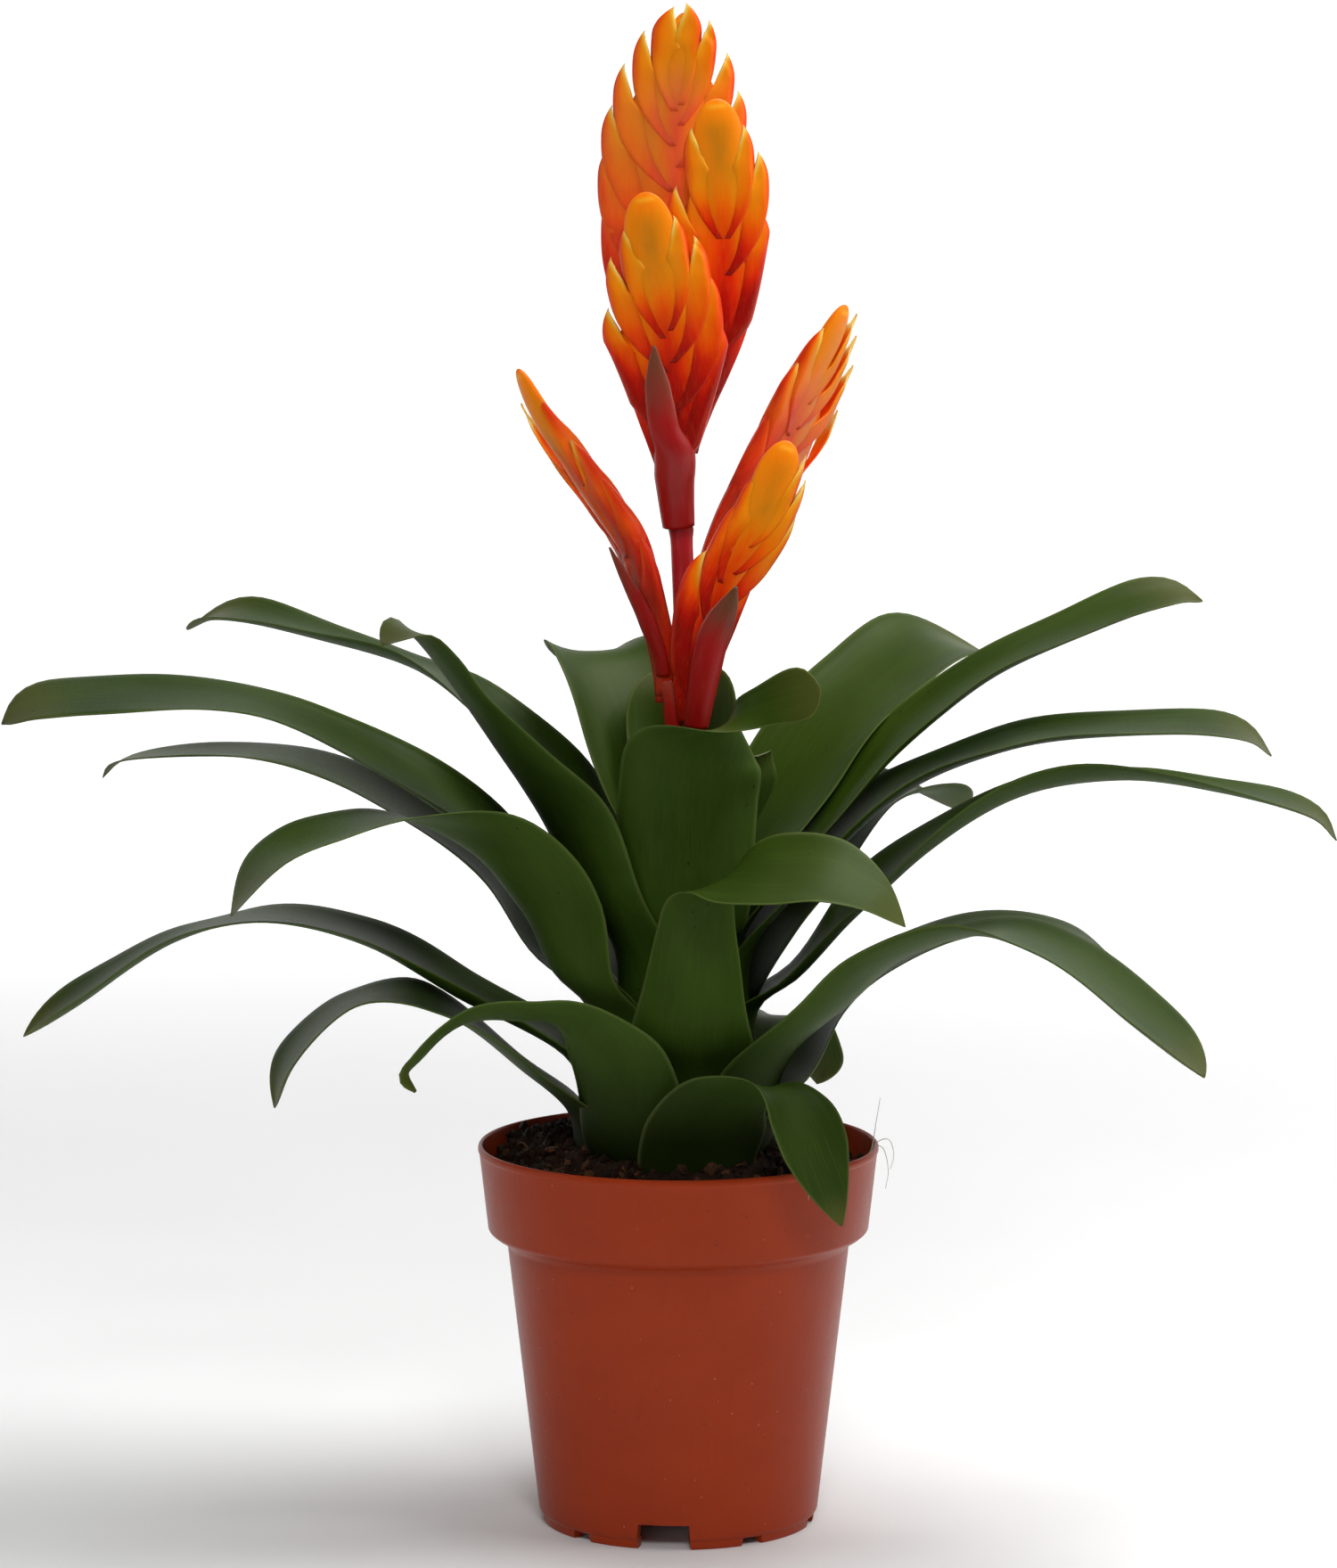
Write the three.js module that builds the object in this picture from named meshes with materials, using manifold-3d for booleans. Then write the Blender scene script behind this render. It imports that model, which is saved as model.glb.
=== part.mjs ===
// A flowering vriesea in a 12 cm nursery pot, in millimetres, +Z up.
// The origin is the middle of the pot's underside, on the surface that its feet stand on,
// and the side that the plant turns to its viewer looks along -Y.
import * as THREE from 'three';
import { mergeVertices } from 'three/addons/utils/BufferGeometryUtils.js';
import Module from 'manifold-3d';

const wasm = await Module();
wasm.setup();

const DEG = Math.PI / 180;

// The pot
const RIM_RADIUS = 60;
const POT_HEIGHT = 115;
const BAND_DROP = 27;
const BAND_FOOT_RADIUS = 57;
const WALL_TOP_RADIUS = 51.6;
const WALL_FOOT_RADIUS = 42;
const WALL = 1.4;
const FOOT_HEIGHT = 3;
const FOOT_INNER = 37.5;
const FOOT_OUTER = 40.8;
const FLOOR_TOP = 10;
const SLOT_HEADING = -96;
const SLOT_HALF_ANGLE = 11.5;
const SLOT_HEIGHT = 7.8;
const FOOT_GAPS = [38.5, 81.5];
const FOOT_GAP_HALF_ANGLE = 5.5;
const POT_SIDES = 48;

// The potting mix and the short stem in it
const SOIL_LEVEL = 105;
const SOIL_RADIUS = 57;
const SOIL_SIDES = 36;
const HOLE_RADIUS = 36;
const HEAP = [-44, 22];
const HEAP_SPREAD = 11;
const MOUND = 8;
const STEM_RADIUS = 35;
const STEM_FOOT = 80;
const STEM_TOP = 92;
const SEAT = 0.3;

// The leaves, whose sheaths stand nested on the stem and spread a little as they rise
const LEAF_THICKNESS = 0.7;
const LEAF_ACROSS = 4;
const RING_PITCH = 1.6;
const INNER_RING = 7;
const SHEATH_HALF_WIDTH = 24;
const SHEATH_MOST_ANGLE = 62 * DEG;
const SHEATH_STEP = 16;
const SPREAD_FROM = 106;
const SPREAD_TO = 230;
const SPREAD = 7;

// How far along a leaf, as a share of its length, each row of points lies
const LEAF_ROWS = [0, 0.1, 0.19, 0.27, 0.34, 0.41, 0.48, 0.55, 0.63, 0.71, 0.79, 0.87, 0.95, 1];
const TIP_FROM = 0.8;

// The leaves from the outermost in. Each has the direction in which it leaves the plant, its swing from there
// by the tip, the full width of its blade, the half angle of its channel and its roll about the rib as pairs of
// share of its length and degrees, and its rib above the sheath as pairs of distance from the axis and height.
const LEAVES = [
  { name: 'leaf_front_low', heading: -78, swing: 22, width: 35, channel: [[0.4, 35], [1, 16]],
    roll: [[0.4, 0], [1, -7]],
    rib: [[41, 134], [48, 142], [59, 144], [68, 137], [77, 123], [84, 103]] },
  { name: 'leaf_left_low', heading: -168, swing: 0, width: 32, channel: [[0.4, 42], [0.7, 7], [1, 24]],
    roll: [[0.4, 1], [0.6, -8], [0.72, 9], [1, 0]],
    rib: [[49, 140], [70, 157], [83, 162], [100, 160], [117, 144], [122, 130]] },
  { name: 'leaf_front_left_low', heading: -115, swing: -32, width: 31, channel: [[0.4, 40], [0.7, 20], [1, 17]],
    roll: [[0.4, 33], [0.7, 9], [1, -17]],
    rib: [[39, 148], [48, 161], [59, 164], [72, 163], [84, 152], [89, 139]] },
  { name: 'leaf_back_right_low', heading: 60, swing: 0, width: 23, channel: [[0.4, 36], [1, 32]],
    roll: [[0.4, -21], [1, 17]],
    rib: [[46, 136], [59, 144], [73, 140], [84, 127], [87, 119]] },
  { name: 'leaf_back_low', heading: 103, swing: 0, width: 29, channel: [[0.4, 39], [1, 12]],
    roll: [[0.4, -30], [1, 6]],
    rib: [[37, 142], [61, 159], [80, 158], [87, 150], [94, 143]] },
  { name: 'leaf_right_low_back', heading: 14, swing: 0, width: 30, channel: [[0.4, 21], [1, 15]],
    roll: [[0.4, 0], [1, 6]],
    rib: [[40, 137], [49, 154], [63, 166], [93, 176], [125, 172], [142, 159]] },
  { name: 'leaf_right_low', heading: -30, swing: 0, width: 42, channel: [[0.4, 45], [0.7, 19], [1, 24]],
    roll: [[0.4, 4], [0.6, -4], [1, -8]],
    rib: [[34, 142], [56, 161], [72, 175], [103, 186], [128, 181], [156, 163], [173, 150]] },
  { name: 'leaf_left_middle', heading: 180, swing: 0, width: 39, channel: [[0.4, 38], [0.7, 5], [1, 36]],
    roll: [[0.3, 0], [0.6, 10], [0.72, 10], [0.84, 0], [1, -10]],
    rib: [[33, 141], [66, 160], [93, 176], [124, 183], [149, 177], [179, 158], [196, 147]] },
  { name: 'leaf_front_middle', heading: -84, swing: 40, width: 38, channel: [[0.4, 33], [1, 20]],
    roll: [[0.4, 3], [1, -3]],
    rib: [[33, 166], [35, 192], [46, 205], [61, 207], [80, 201], [90, 187]] },
  { name: 'leaf_front_left_middle', heading: -147, swing: 0, width: 32, channel: [[0.4, 41], [0.7, 17], [1, 14]],
    roll: [[0.3, 21], [0.45, 26], [0.6, 20], [0.72, 4], [0.84, -4], [1, 17]],
    rib: [[37, 168], [44, 189], [62, 209], [85, 218], [105, 220], [138, 211], [152, 196]] },
  { name: 'leaf_back_left_middle', heading: 110, swing: 0, width: 34, channel: [[0.4, 21], [1, 36]],
    roll: [[0.4, 54], [1, -33]],
    rib: [[29, 147], [48, 172], [70, 184], [84, 188], [97, 171]] },
  { name: 'leaf_right_middle', heading: -8, swing: 0, width: 36, channel: [[0.4, 37], [0.7, 37], [1, 11]],
    roll: [[0.3, 9], [0.45, 18], [0.6, 4], [0.72, -7], [1, 6]],
    rib: [[37, 167], [55, 188], [77, 207], [103, 222], [130, 227], [156, 225], [189, 217], [195, 210]] },
  { name: 'leaf_left_back', heading: 165, swing: 0, width: 27, channel: [[0.4, 33], [0.7, 8], [1, 8]],
    roll: [[0.3, -6], [0.45, 15], [0.6, 0], [0.72, 6], [1, 8]],
    rib: [[43, 172], [58, 193], [87, 214], [118, 227], [147, 228], [177, 224], [182, 219]] },
  { name: 'leaf_back_right_middle', heading: 41, swing: 0, width: 37, channel: [[0.4, 33], [1, 39]],
    roll: [[0.4, 9], [1, 0]],
    rib: [[36, 178], [50, 190], [75, 211], [97, 213], [116, 205]] },
  { name: 'leaf_left_long', heading: 187, swing: 0, width: 41, channel: [[0.4, 42], [0.7, 19], [1, 5]],
    roll: [[0.3, 0], [0.45, -16], [0.6, -13], [0.72, -7], [1, -21]],
    rib: [[33, 173], [46, 194], [67, 216], [100, 237], [131, 249], [190, 250], [200, 244]] },
  { name: 'leaf_right_long', heading: 7, swing: 0, width: 41, channel: [[0.4, 41], [0.7, 28], [1, 16]],
    roll: [[0.3, 18], [0.45, 4], [0.6, 0], [0.72, 13], [1, 35]],
    rib: [[33, 189], [48, 205], [65, 219], [92, 231], [115, 236], [171, 236], [180, 229]] },
  { name: 'leaf_back_middle', heading: 82, swing: 0, width: 30, channel: [[0.4, 20], [1, 15]],
    roll: [[0.4, 12], [1, -9]],
    rib: [[29, 190], [41, 202], [56, 212], [73, 210], [88, 202], [94, 190]] },
  { name: 'leaf_left_tall', heading: -150, swing: 0, width: 38, channel: [[0.4, 25], [0.7, 30], [1, 8]],
    roll: [[0.3, 0], [0.45, 15], [0.6, 9], [0.84, -11], [1, -5]],
    rib: [[29, 193], [39, 216], [56, 235], [72, 254], [84, 269], [90, 274], [99, 270]] },
  { name: 'leaf_right_tall', heading: 17, swing: 0, width: 36, channel: [[0.4, 36], [0.7, 39], [1, 28]],
    roll: [[0.3, 12], [0.45, 5], [0.72, 1], [0.84, 8], [1, 23]],
    rib: [[30, 194], [44, 209], [68, 232], [96, 252], [125, 265], [157, 275], [167, 273]] },
  { name: 'leaf_back_left_tall', heading: 155, swing: 0, width: 38, channel: [[0.4, 37], [0.7, 25], [1, 25]],
    roll: [[0.3, -15], [0.5, -3], [0.72, 12], [0.84, 4], [1, -12]],
    rib: [[26, 197], [42, 223], [63, 241], [82, 252], [117, 261], [154, 267], [167, 262]] },
  { name: 'leaf_back_right_tall', heading: 44, swing: 0, width: 38, channel: [[0.4, 33], [0.7, 26], [1, 26]],
    roll: [[0.3, 18], [0.45, -17], [0.6, -22], [0.72, -19], [0.84, -10], [1, 17]],
    rib: [[26, 199], [39, 217], [60, 242], [75, 254], [103, 264], [133, 258]] },
  { name: 'leaf_front_tall', heading: -87, swing: 48, width: 43, channel: [[0.4, 38], [1, 17]],
    roll: [[0.4, 6], [1, 0]],
    rib: [[28, 212], [31, 225], [38, 236], [46, 244], [54, 247]] },
  { name: 'leaf_right_inner', heading: -47, swing: 0, width: 36, channel: [[0.4, 54], [1, 14]],
    roll: [[0.4, -15], [1, 3]],
    rib: [[18, 204], [27, 225], [29, 233], [35, 235]] },
  { name: 'leaf_back_left_inner', heading: 118, swing: 0, width: 41, channel: [[0.4, 39], [1, 35]],
    roll: [[0.4, -12], [1, 3]],
    rib: [[18, 215], [34, 244], [53, 252], [64, 249], [73, 242]] },
  { name: 'leaf_back_inner', heading: 85, swing: 0, width: 37, channel: [[0.4, 50], [1, 29]],
    roll: [[0.4, -9], [1, -9]],
    rib: [[19, 233], [23, 248], [32, 257]] },
];

// The flower stem, from the leaves' stem up to the foot of the top spike
const SCAPE_RADIUS = 3.3;
const SCAPE = [[0, 0, 84], [1, 0, 120], [2.5, 0, 180], [3, 0, 240], [1.8, 0, 274], [0.9, 0, 299.4]];

// The flat flower spikes. Each has its axis, the direction that its broad side faces, its core as distance along
// the axis, half width and half thickness, the half width of its tip's dome, the half width of its stalk and how
// fast it widens above, and for each side how far down from the tip and how far out from the axis its bracts end.
const SPIKES = [
  { name: 'spike_top', facing: -90, dome: 5.5, stalk: 3.4, widening: 0.24,
    axis: [[0.2, 0, 299.7], [-0.2, 0.5, 317], [-2, 6, 336], [-2, 9.5, 360], [-1, 10, 400], [0, 10, 430], [1.8, 9, 454]],
    core: [[0, 4.2, 3.3], [11, 5, 3.1], [20, 6, 2.9], [45, 4, 2.7], [80, 7, 2.8], [120, 7, 2.6]],
    right: [[4.5, 9], [13.6, 15.5], [25, 20], [37, 22], [50, 22]],
    left: [[1.4, 6], [9, 13], [19, 18.4], [31, 21.6], [43, 22.4], [57, 21]] },
  { name: 'spike_right', facing: -84, dome: 7.6, stalk: 1.2, widening: 0.2,
    axis: [[4.8, -2.7, 322], [6, -1.8, 330], [7.6, -0.4, 338], [9.8, 0.6, 347], [12, 1, 358], [13, 1, 371],
      [12.5, 0.5, 395], [11, 0, 426]],
    core: [[0, 1.6, 1.5], [16, 2.4, 2.1], [36, 4.6, 2.6], [55, 8, 2.8], [80, 8.5, 2.6]],
    right: [[8, 10.5], [16, 14.5], [33, 14.4]],
    left: [[8, 10.5], [25, 16], [42, 15]] },
  { name: 'spike_front', facing: -92, dome: 7.6, stalk: 5.5, widening: 0.33,
    axis: [[-1.5, -5, 317], [-1.8, -7.4, 330], [-3.2, -9.2, 357], [-8, -9.6, 385], [-10.2, -9.4, 399]],
    core: [[0, 4.5, 2.4], [14, 8, 3], [35, 9, 3], [60, 8.5, 2.6]],
    right: [[8, 10.5], [15, 15.5], [26, 17], [39, 17.5]],
    left: [[9.5, 10], [17, 15.5], [31.5, 19]] },
  { name: 'spike_low_left', facing: -152, dome: 4, stalk: 2, widening: 0.33,
    axis: [[-3.6, -0.6, 248], [-4.2, -0.6, 257], [-5.8, -0.6, 265], [-10, -0.8, 281], [-14.5, -1, 295],
      [-20, -1.5, 304], [-30.5, -2.5, 320], [-40.5, -3, 334], [-47.4, -3.5, 347]],
    core: [[0, 2.2, 1.8], [10, 2.6, 2.2], [25, 4.6, 2.9], [45, 5.4, 2.6], [80, 4, 2]],
    right: [[7, 4.5], [26, 7.5], [38, 9], [58, 9.5]],
    left: [[12, 8], [23, 10], [44, 7.5]] },
  { name: 'spike_low_back', facing: -35, dome: 5, stalk: 3.5, widening: 0.3,
    axis: [[6.1, 4.5, 272], [10, 7, 286], [15.4, 8, 299.6], [22.6, 8, 313], [30.4, 8, 327], [38, 8, 343],
      [44.5, 8, 355], [49.6, 8, 365.2]],
    core: [[0, 2.8, 2.4], [25, 5, 2.7], [55, 7, 2.7], [85, 5.5, 2.4]],
    right: [[4, 8], [10, 12], [18, 16], [34, 21]],
    left: [[9, 8], [21, 10.5], [34, 10.5], [51, 8.5]] },
  { name: 'spike_low_right', facing: -78, dome: 6.5, stalk: 5, widening: 0.19,
    axis: [[4.4, -6.6, 243], [4.8, -7.6, 252], [5.7, -8.3, 261], [7.7, -8.5, 270], [12.6, -8.5, 284],
      [18, -8.5, 294], [24.6, -8.5, 306], [32.5, -8, 326]],
    core: [[0, 4.4, 2.6], [10, 5.2, 2.9], [27, 8, 3.1], [45, 9.5, 3.1], [75, 8.5, 2.8]],
    right: [[5, 7.3], [12, 10.3], [21, 11.2], [40, 9]],
    left: [[12, 8], [21, 9], [40, 11.5]] },
];
// The broad bracts below the spikes: thin curved blades, each with the direction that its outer face looks to, its
// line as x, y and z, and by share of its length its half width as seen from there and how far its edges curl back.
const STEM_BRACTS = [
  { name: 'bract_top', facing: -92,
    path: [[0, -4.3, 302.5], [-0.8, -6.1, 308.5], [-1.2, -8.7, 314], [-1.5, -12.3, 323], [-4.2, -13.2, 330],
      [-5.3, -13.1, 336], [-6.3, -13.1, 343], [-6.9, -13.2, 349], [-7.2, -13.2, 354.4]],
    half: [[0, 4.6], [0.14, 5.2], [0.28, 5.9], [0.4, 6], [0.52, 4.4], [0.66, 4.2], [0.8, 3.6], [0.9, 2.1], [1, 0.4]],
    curl: [[0, 62], [0.4, 62], [0.6, 34], [1, 24]] },
  { name: 'bract_low_right', facing: -80,
    path: [[5.4, -10.6, 241], [6.8, -12.1, 250], [8.3, -13, 259], [10.2, -13.2, 267.5], [12.2, -13.1, 272.6],
      [14.8, -13.2, 278], [17, -13.2, 283.6]],
    half: [[0, 3.5], [0.22, 4.2], [0.42, 4.7], [0.62, 4.8], [0.76, 4.3], [0.88, 2.8], [1, 0.4]],
    curl: [[0, 50], [0.5, 38], [1, 24]] },
  { name: 'bract_low_left', facing: -130,
    path: [[-5.1, -5, 256], [-6.1, -5.8, 262], [-8.6, -6.6, 269], [-11.4, -6.2, 276], [-14.4, -5.4, 282],
      [-17.4, -4.8, 288], [-20.4, -4.8, 294.4]],
    half: [[0, 2.4], [0.2, 3], [0.4, 3.2], [0.6, 2.6], [0.8, 1.6], [1, 0.4]],
    curl: [[0, 44], [1, 24]] },
  { name: 'bract_foot', facing: -108,
    path: [[-0.9, -4.4, 238], [-1.9, -4.7, 244], [-2.4, -4.9, 249.5], [-3.6, -5, 254.6]],
    half: [[0, 3], [0.5, 2.8], [0.85, 2.2], [1, 1.2]],
    curl: [[0, 52], [1, 34]] },
];
const BRACT_ROWS = [0, 0.28, 0.52, 0.72, 0.87, 1];
const BRACT_LENGTH = 30;
const BRACT_LENGTHENING = 0.35;
const BRACT_THICKNESS = 2.7;
const BRACT_EDGE = 0.4;
const STEM_BRACT_ROWS = [0, 0.15, 0.3, 0.43, 0.55, 0.67, 0.79, 0.9, 1];

// Joins the points into one closed solid and lets manifold-3d test it.
function solidOf(geometry) {
  const bare = geometry.clone();
  bare.deleteAttribute('normal');
  bare.deleteAttribute('uv');
  const merged = mergeVertices(bare, 1e-4);
  return new wasm.Manifold(new wasm.Mesh({
    numProp: 3,
    vertProperties: new Float32Array(merged.attributes.position.array),
    triVerts: new Uint32Array(merged.index.array),
  }));
}

function geometryOf(solid) {
  const mesh = solid.getMesh();
  const geometry = new THREE.BufferGeometry();
  geometry.setAttribute('position', new THREE.BufferAttribute(new Float32Array(mesh.vertProperties), 3));
  geometry.setIndex(new THREE.BufferAttribute(new Uint32Array(mesh.triVerts), 1));
  geometry.computeVertexNormals();
  return geometry;
}

function clamp(x) {
  return Math.min(1, Math.max(0, x));
}

function smoothstep(from, to, x) {
  const t = clamp((x - from) / (to - from));
  return t * t * (3 - 2 * t);
}

function mix(a, b, t) {
  return a + (b - a) * t;
}

// The value at x of a line through the given pairs, or of one column of a longer table.
function along(table, x, column = 1) {
  const after = table.findIndex((row) => row[0] > x);
  if (after === 0) return table[0][column];
  if (after < 0) return table[table.length - 1][column];
  const [low, high] = [table[after - 1], table[after]];
  return mix(low[column], high[column], (x - low[0]) / (high[0] - low[0]));
}

// A closed skin over rows of points. Each row is a loop of an even number of points, out along one face and back
// along the other. Both faces are split into triangles alike, so that a thin sheet never crosses itself.
function skin(rows) {
  const around = rows[0].length;
  const half = around / 2;
  const points = rows.flat();
  const faces = [];
  for (let i = 0; i + 1 < rows.length; i++) {
    for (let j = 0; j < around; j++) {
      const a = i * around + j;
      const b = i * around + (j + 1) % around;
      if (j < half) faces.push(a, b, b + around, a, b + around, a + around);
      else faces.push(a, b, a + around, b, b + around, a + around);
    }
  }
  const last = (rows.length - 1) * around;
  for (let k = 0; k + 1 < half; k++) {
    const back = around - 1 - k;
    faces.push(k, back, k + 1, k + 1, back, back - 1);
    faces.push(last + k, last + k + 1, last + back, last + k + 1, last + back - 1, last + back);
  }
  const edgeA = new THREE.Vector3();
  let volume = 0;
  for (let f = 0; f < faces.length; f += 3) {
    edgeA.crossVectors(points[faces[f + 1]], points[faces[f + 2]]);
    volume += points[faces[f]].dot(edgeA);
  }
  if (volume < 0) faces.reverse();
  const geometry = new THREE.BufferGeometry();
  const numbers = points.flatMap((p) => [p.x, p.y, p.z]);
  geometry.setAttribute('position', new THREE.BufferAttribute(new Float32Array(numbers), 3));
  geometry.setIndex(faces);
  return geometry;
}

// A closed profile of pairs of radius and height, turned about the pot's axis.
function turned(profile, sides) {
  const points = [...profile, profile[0]].map(([r, z]) => new THREE.Vector2(r, z));
  const geometry = new THREE.LatheGeometry(points, sides);
  geometry.rotateX(Math.PI / 2);
  const solid = solidOf(geometry);
  if (solid.volume() > 0) return solid;
  const flipped = geometry.toNonIndexed();
  const at = flipped.attributes.position;
  for (let f = 0; f < at.count; f += 3) {
    const b = new THREE.Vector3().fromBufferAttribute(at, f + 1);
    const c = new THREE.Vector3().fromBufferAttribute(at, f + 2);
    at.setXYZ(f + 1, c.x, c.y, c.z);
    at.setXYZ(f + 2, b.x, b.y, b.z);
  }
  return solidOf(flipped);
}

// A wedge that opens a slot in the pot's wall, narrower at its top, in a given direction.
function slotCutter(heading, halfAngle, top, taper) {
  const reach = RIM_RADIUS;
  const from = WALL_FOOT_RADIUS - 12;
  const foot = halfAngle * DEG;
  const head = (halfAngle - taper) * DEG;
  const at = (r, angle, z) => {
    const turn = heading * DEG + angle;
    return new THREE.Vector3(r * Math.cos(turn), r * Math.sin(turn), z);
  };
  const row = (r) => [at(r, -foot, -1), at(r, -head, top), at(r, head, top), at(r, foot, -1)];
  return solidOf(skin([row(from), row(reach)]));
}

// The pot: a thin shell with a collar, standing on feet between its drain slots
function potSolid() {
  const collar = POT_HEIGHT - BAND_DROP;
  const shell = turned([
    [0.01, FLOOR_TOP - WALL],
    [WALL_FOOT_RADIUS - 3, FLOOR_TOP - WALL],
    [WALL_FOOT_RADIUS - 3, FOOT_HEIGHT - 0.6],
    [WALL_FOOT_RADIUS - 0.8, FOOT_HEIGHT - 0.6],
    [WALL_FOOT_RADIUS, FOOT_HEIGHT + 0.6],
    [WALL_TOP_RADIUS - 0.3, collar - 3.2],
    [WALL_TOP_RADIUS + 1.2, collar - 1],
    [BAND_FOOT_RADIUS - 1.6, collar - 0.2],
    [BAND_FOOT_RADIUS, collar + 1.2],
    [RIM_RADIUS - 0.2, POT_HEIGHT - 2],
    [RIM_RADIUS, POT_HEIGHT - 0.8],
    [RIM_RADIUS - 0.6, POT_HEIGHT],
    [RIM_RADIUS - 1.3, POT_HEIGHT - 0.4],
    [RIM_RADIUS - 1.6, POT_HEIGHT - 3],
    [BAND_FOOT_RADIUS - WALL, collar + 2],
    [WALL_TOP_RADIUS - WALL + 0.3, collar - 1.5],
    [WALL_FOOT_RADIUS - WALL, FLOOR_TOP + 2],
    [WALL_FOOT_RADIUS - WALL - 2, FLOOR_TOP],
    [0.01, FLOOR_TOP],
  ], POT_SIDES);
  const feet = turned([
    [FOOT_INNER, 0],
    [FOOT_OUTER, 0],
    [FOOT_OUTER + 0.5, FOOT_HEIGHT],
    [FOOT_INNER - 0.5, FOOT_HEIGHT],
  ], POT_SIDES);
  const turns = [0, 1, 2].map((i) => SLOT_HEADING + i * 120);
  const gaps = turns.flatMap((turn) => [
    slotCutter(turn, SLOT_HALF_ANGLE, SLOT_HEIGHT, 1.2),
    ...FOOT_GAPS.map((at) => slotCutter(turn + at, FOOT_GAP_HALF_ANGLE, FOOT_HEIGHT + 0.05, 1.2)),
  ]);
  const slots = turns.map((turn) => slotCutter(turn, SLOT_HALF_ANGLE, SLOT_HEIGHT, 1.2));
  const stand = wasm.Manifold.difference([feet, ...gaps]);
  const wall = wasm.Manifold.difference([shell, ...slots]);
  const sunk = stand.decompose().map((foot) => foot);
  return wasm.Manifold.union([wall, ...sunk]);
}

// The height of the mix's lumpy top above its level, by direction and distance from the axis.
function lumps(x, y) {
  const heap = 7 * Math.exp(-((x - HEAP[0]) ** 2 + (y - HEAP[1]) ** 2) / (2 * HEAP_SPREAD ** 2));
  const mound = MOUND * Math.pow(1 - clamp((Math.hypot(x, y) - HOLE_RADIUS) / (SOIL_RADIUS - HOLE_RADIUS)), 1.2);
  return heap + mound + 1.1 * Math.sin(x * 0.42 + 1.3) * Math.cos(y * 0.37) + 0.7 * Math.sin(x * 0.83 - y * 0.71 + 0.6);
}

// The potting mix fills the pot and has a plain hole for the plant's foot.
function soilSolid() {
  const wallAt = (z) => {
    const collar = POT_HEIGHT - BAND_DROP;
    if (z < collar - 1.5) {
      return mix(WALL_FOOT_RADIUS - WALL, WALL_TOP_RADIUS - WALL + 0.3, (z - FLOOR_TOP - 2) / (collar - 3.5 - FLOOR_TOP));
    }
    return mix(BAND_FOOT_RADIUS - WALL, RIM_RADIUS - 1.6, (z - collar - 2) / (BAND_DROP - 5));
  };
  const rows = [];
  const collar = POT_HEIGHT - BAND_DROP;
  for (let i = 0; i < SOIL_SIDES; i++) {
    const turn = 2 * Math.PI * i / SOIL_SIDES;
    const at = (r, z) => new THREE.Vector3(r * Math.cos(turn), r * Math.sin(turn), z);
    const top = (r) => at(r, SOIL_LEVEL + lumps(r * Math.cos(turn), r * Math.sin(turn)));
    const clear = 0.6;
    rows.push([
      at(HOLE_RADIUS, STEM_FOOT - SEAT),
      top(HOLE_RADIUS),
      top(mix(HOLE_RADIUS, SOIL_RADIUS, 0.35)),
      top(mix(HOLE_RADIUS, SOIL_RADIUS, 0.7)),
      top(SOIL_RADIUS),
      at(wallAt(collar + 2) - clear, collar + 2.6),
      at(wallAt(collar - 2) - clear - 0.2, collar - 1.1),
      at(WALL_FOOT_RADIUS - WALL - 2 - clear, FLOOR_TOP + SEAT),
    ]);
  }
  const points = rows.flat();
  const across = rows[0].length;
  const centre = [points.length, points.length + 1];
  points.push(new THREE.Vector3(0, 0, STEM_FOOT - SEAT), new THREE.Vector3(0, 0, FLOOR_TOP + SEAT));
  const faces = [];
  for (let i = 0; i < SOIL_SIDES; i++) {
    const here = i * across;
    const next = ((i + 1) % SOIL_SIDES) * across;
    for (let j = 0; j + 1 < across; j++) {
      faces.push(here + j, here + j + 1, next + j + 1, here + j, next + j + 1, next + j);
    }
    faces.push(centre[0], here, next);
    faces.push(centre[1], next + across - 1, here + across - 1);
  }
  const geometry = new THREE.BufferGeometry();
  const numbers = points.flatMap((p) => [p.x, p.y, p.z]);
  geometry.setAttribute('position', new THREE.BufferAttribute(new Float32Array(numbers), 3));
  geometry.setIndex(faces);
  return geometry;
}

// A round stem along the given points, which are x, y and z, with a radius for each.
function tube(path, radii, sides) {
  const curve = new THREE.CatmullRomCurve3(path.map(([x, y, z]) => new THREE.Vector3(x, y, z)));
  const rows = radii.map((radius, i) => {
    const share = i / (radii.length - 1);
    const centre = curve.getPointAt(share);
    return Array.from({ length: sides }, (_, k) => {
      const turn = 2 * Math.PI * k / sides;
      return centre.clone().add(new THREE.Vector3(radius * Math.cos(turn), radius * Math.sin(turn), 0));
    });
  });
  return skin(rows);
}

// The short stem in the mix, which the leaves stand on, and the flower's scape grown from its middle
function stemSolid() {
  const foot = turned([
    [0.01, STEM_FOOT],
    [STEM_RADIUS - 6, STEM_FOOT],
    [STEM_RADIUS, STEM_FOOT + 5],
    [STEM_RADIUS, STEM_TOP],
    [0.01, STEM_TOP],
  ], 24);
  const scape = solidOf(tube(SCAPE, [3.8, 3.6, 3.4, 3.3, 3.3, 3.3, 3.4], 10));
  return wasm.Manifold.union([foot, scape]);
}

// How much wider than its foot the nest of sheaths is at a height.
function spread(z) {
  return SPREAD * Math.sin(Math.PI / 2 * clamp((z - SPREAD_FROM) / (SPREAD_TO - SPREAD_FROM)));
}

function sheathAngle(radius) {
  return Math.min(SHEATH_HALF_WIDTH / radius, SHEATH_MOST_ANGLE);
}

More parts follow.
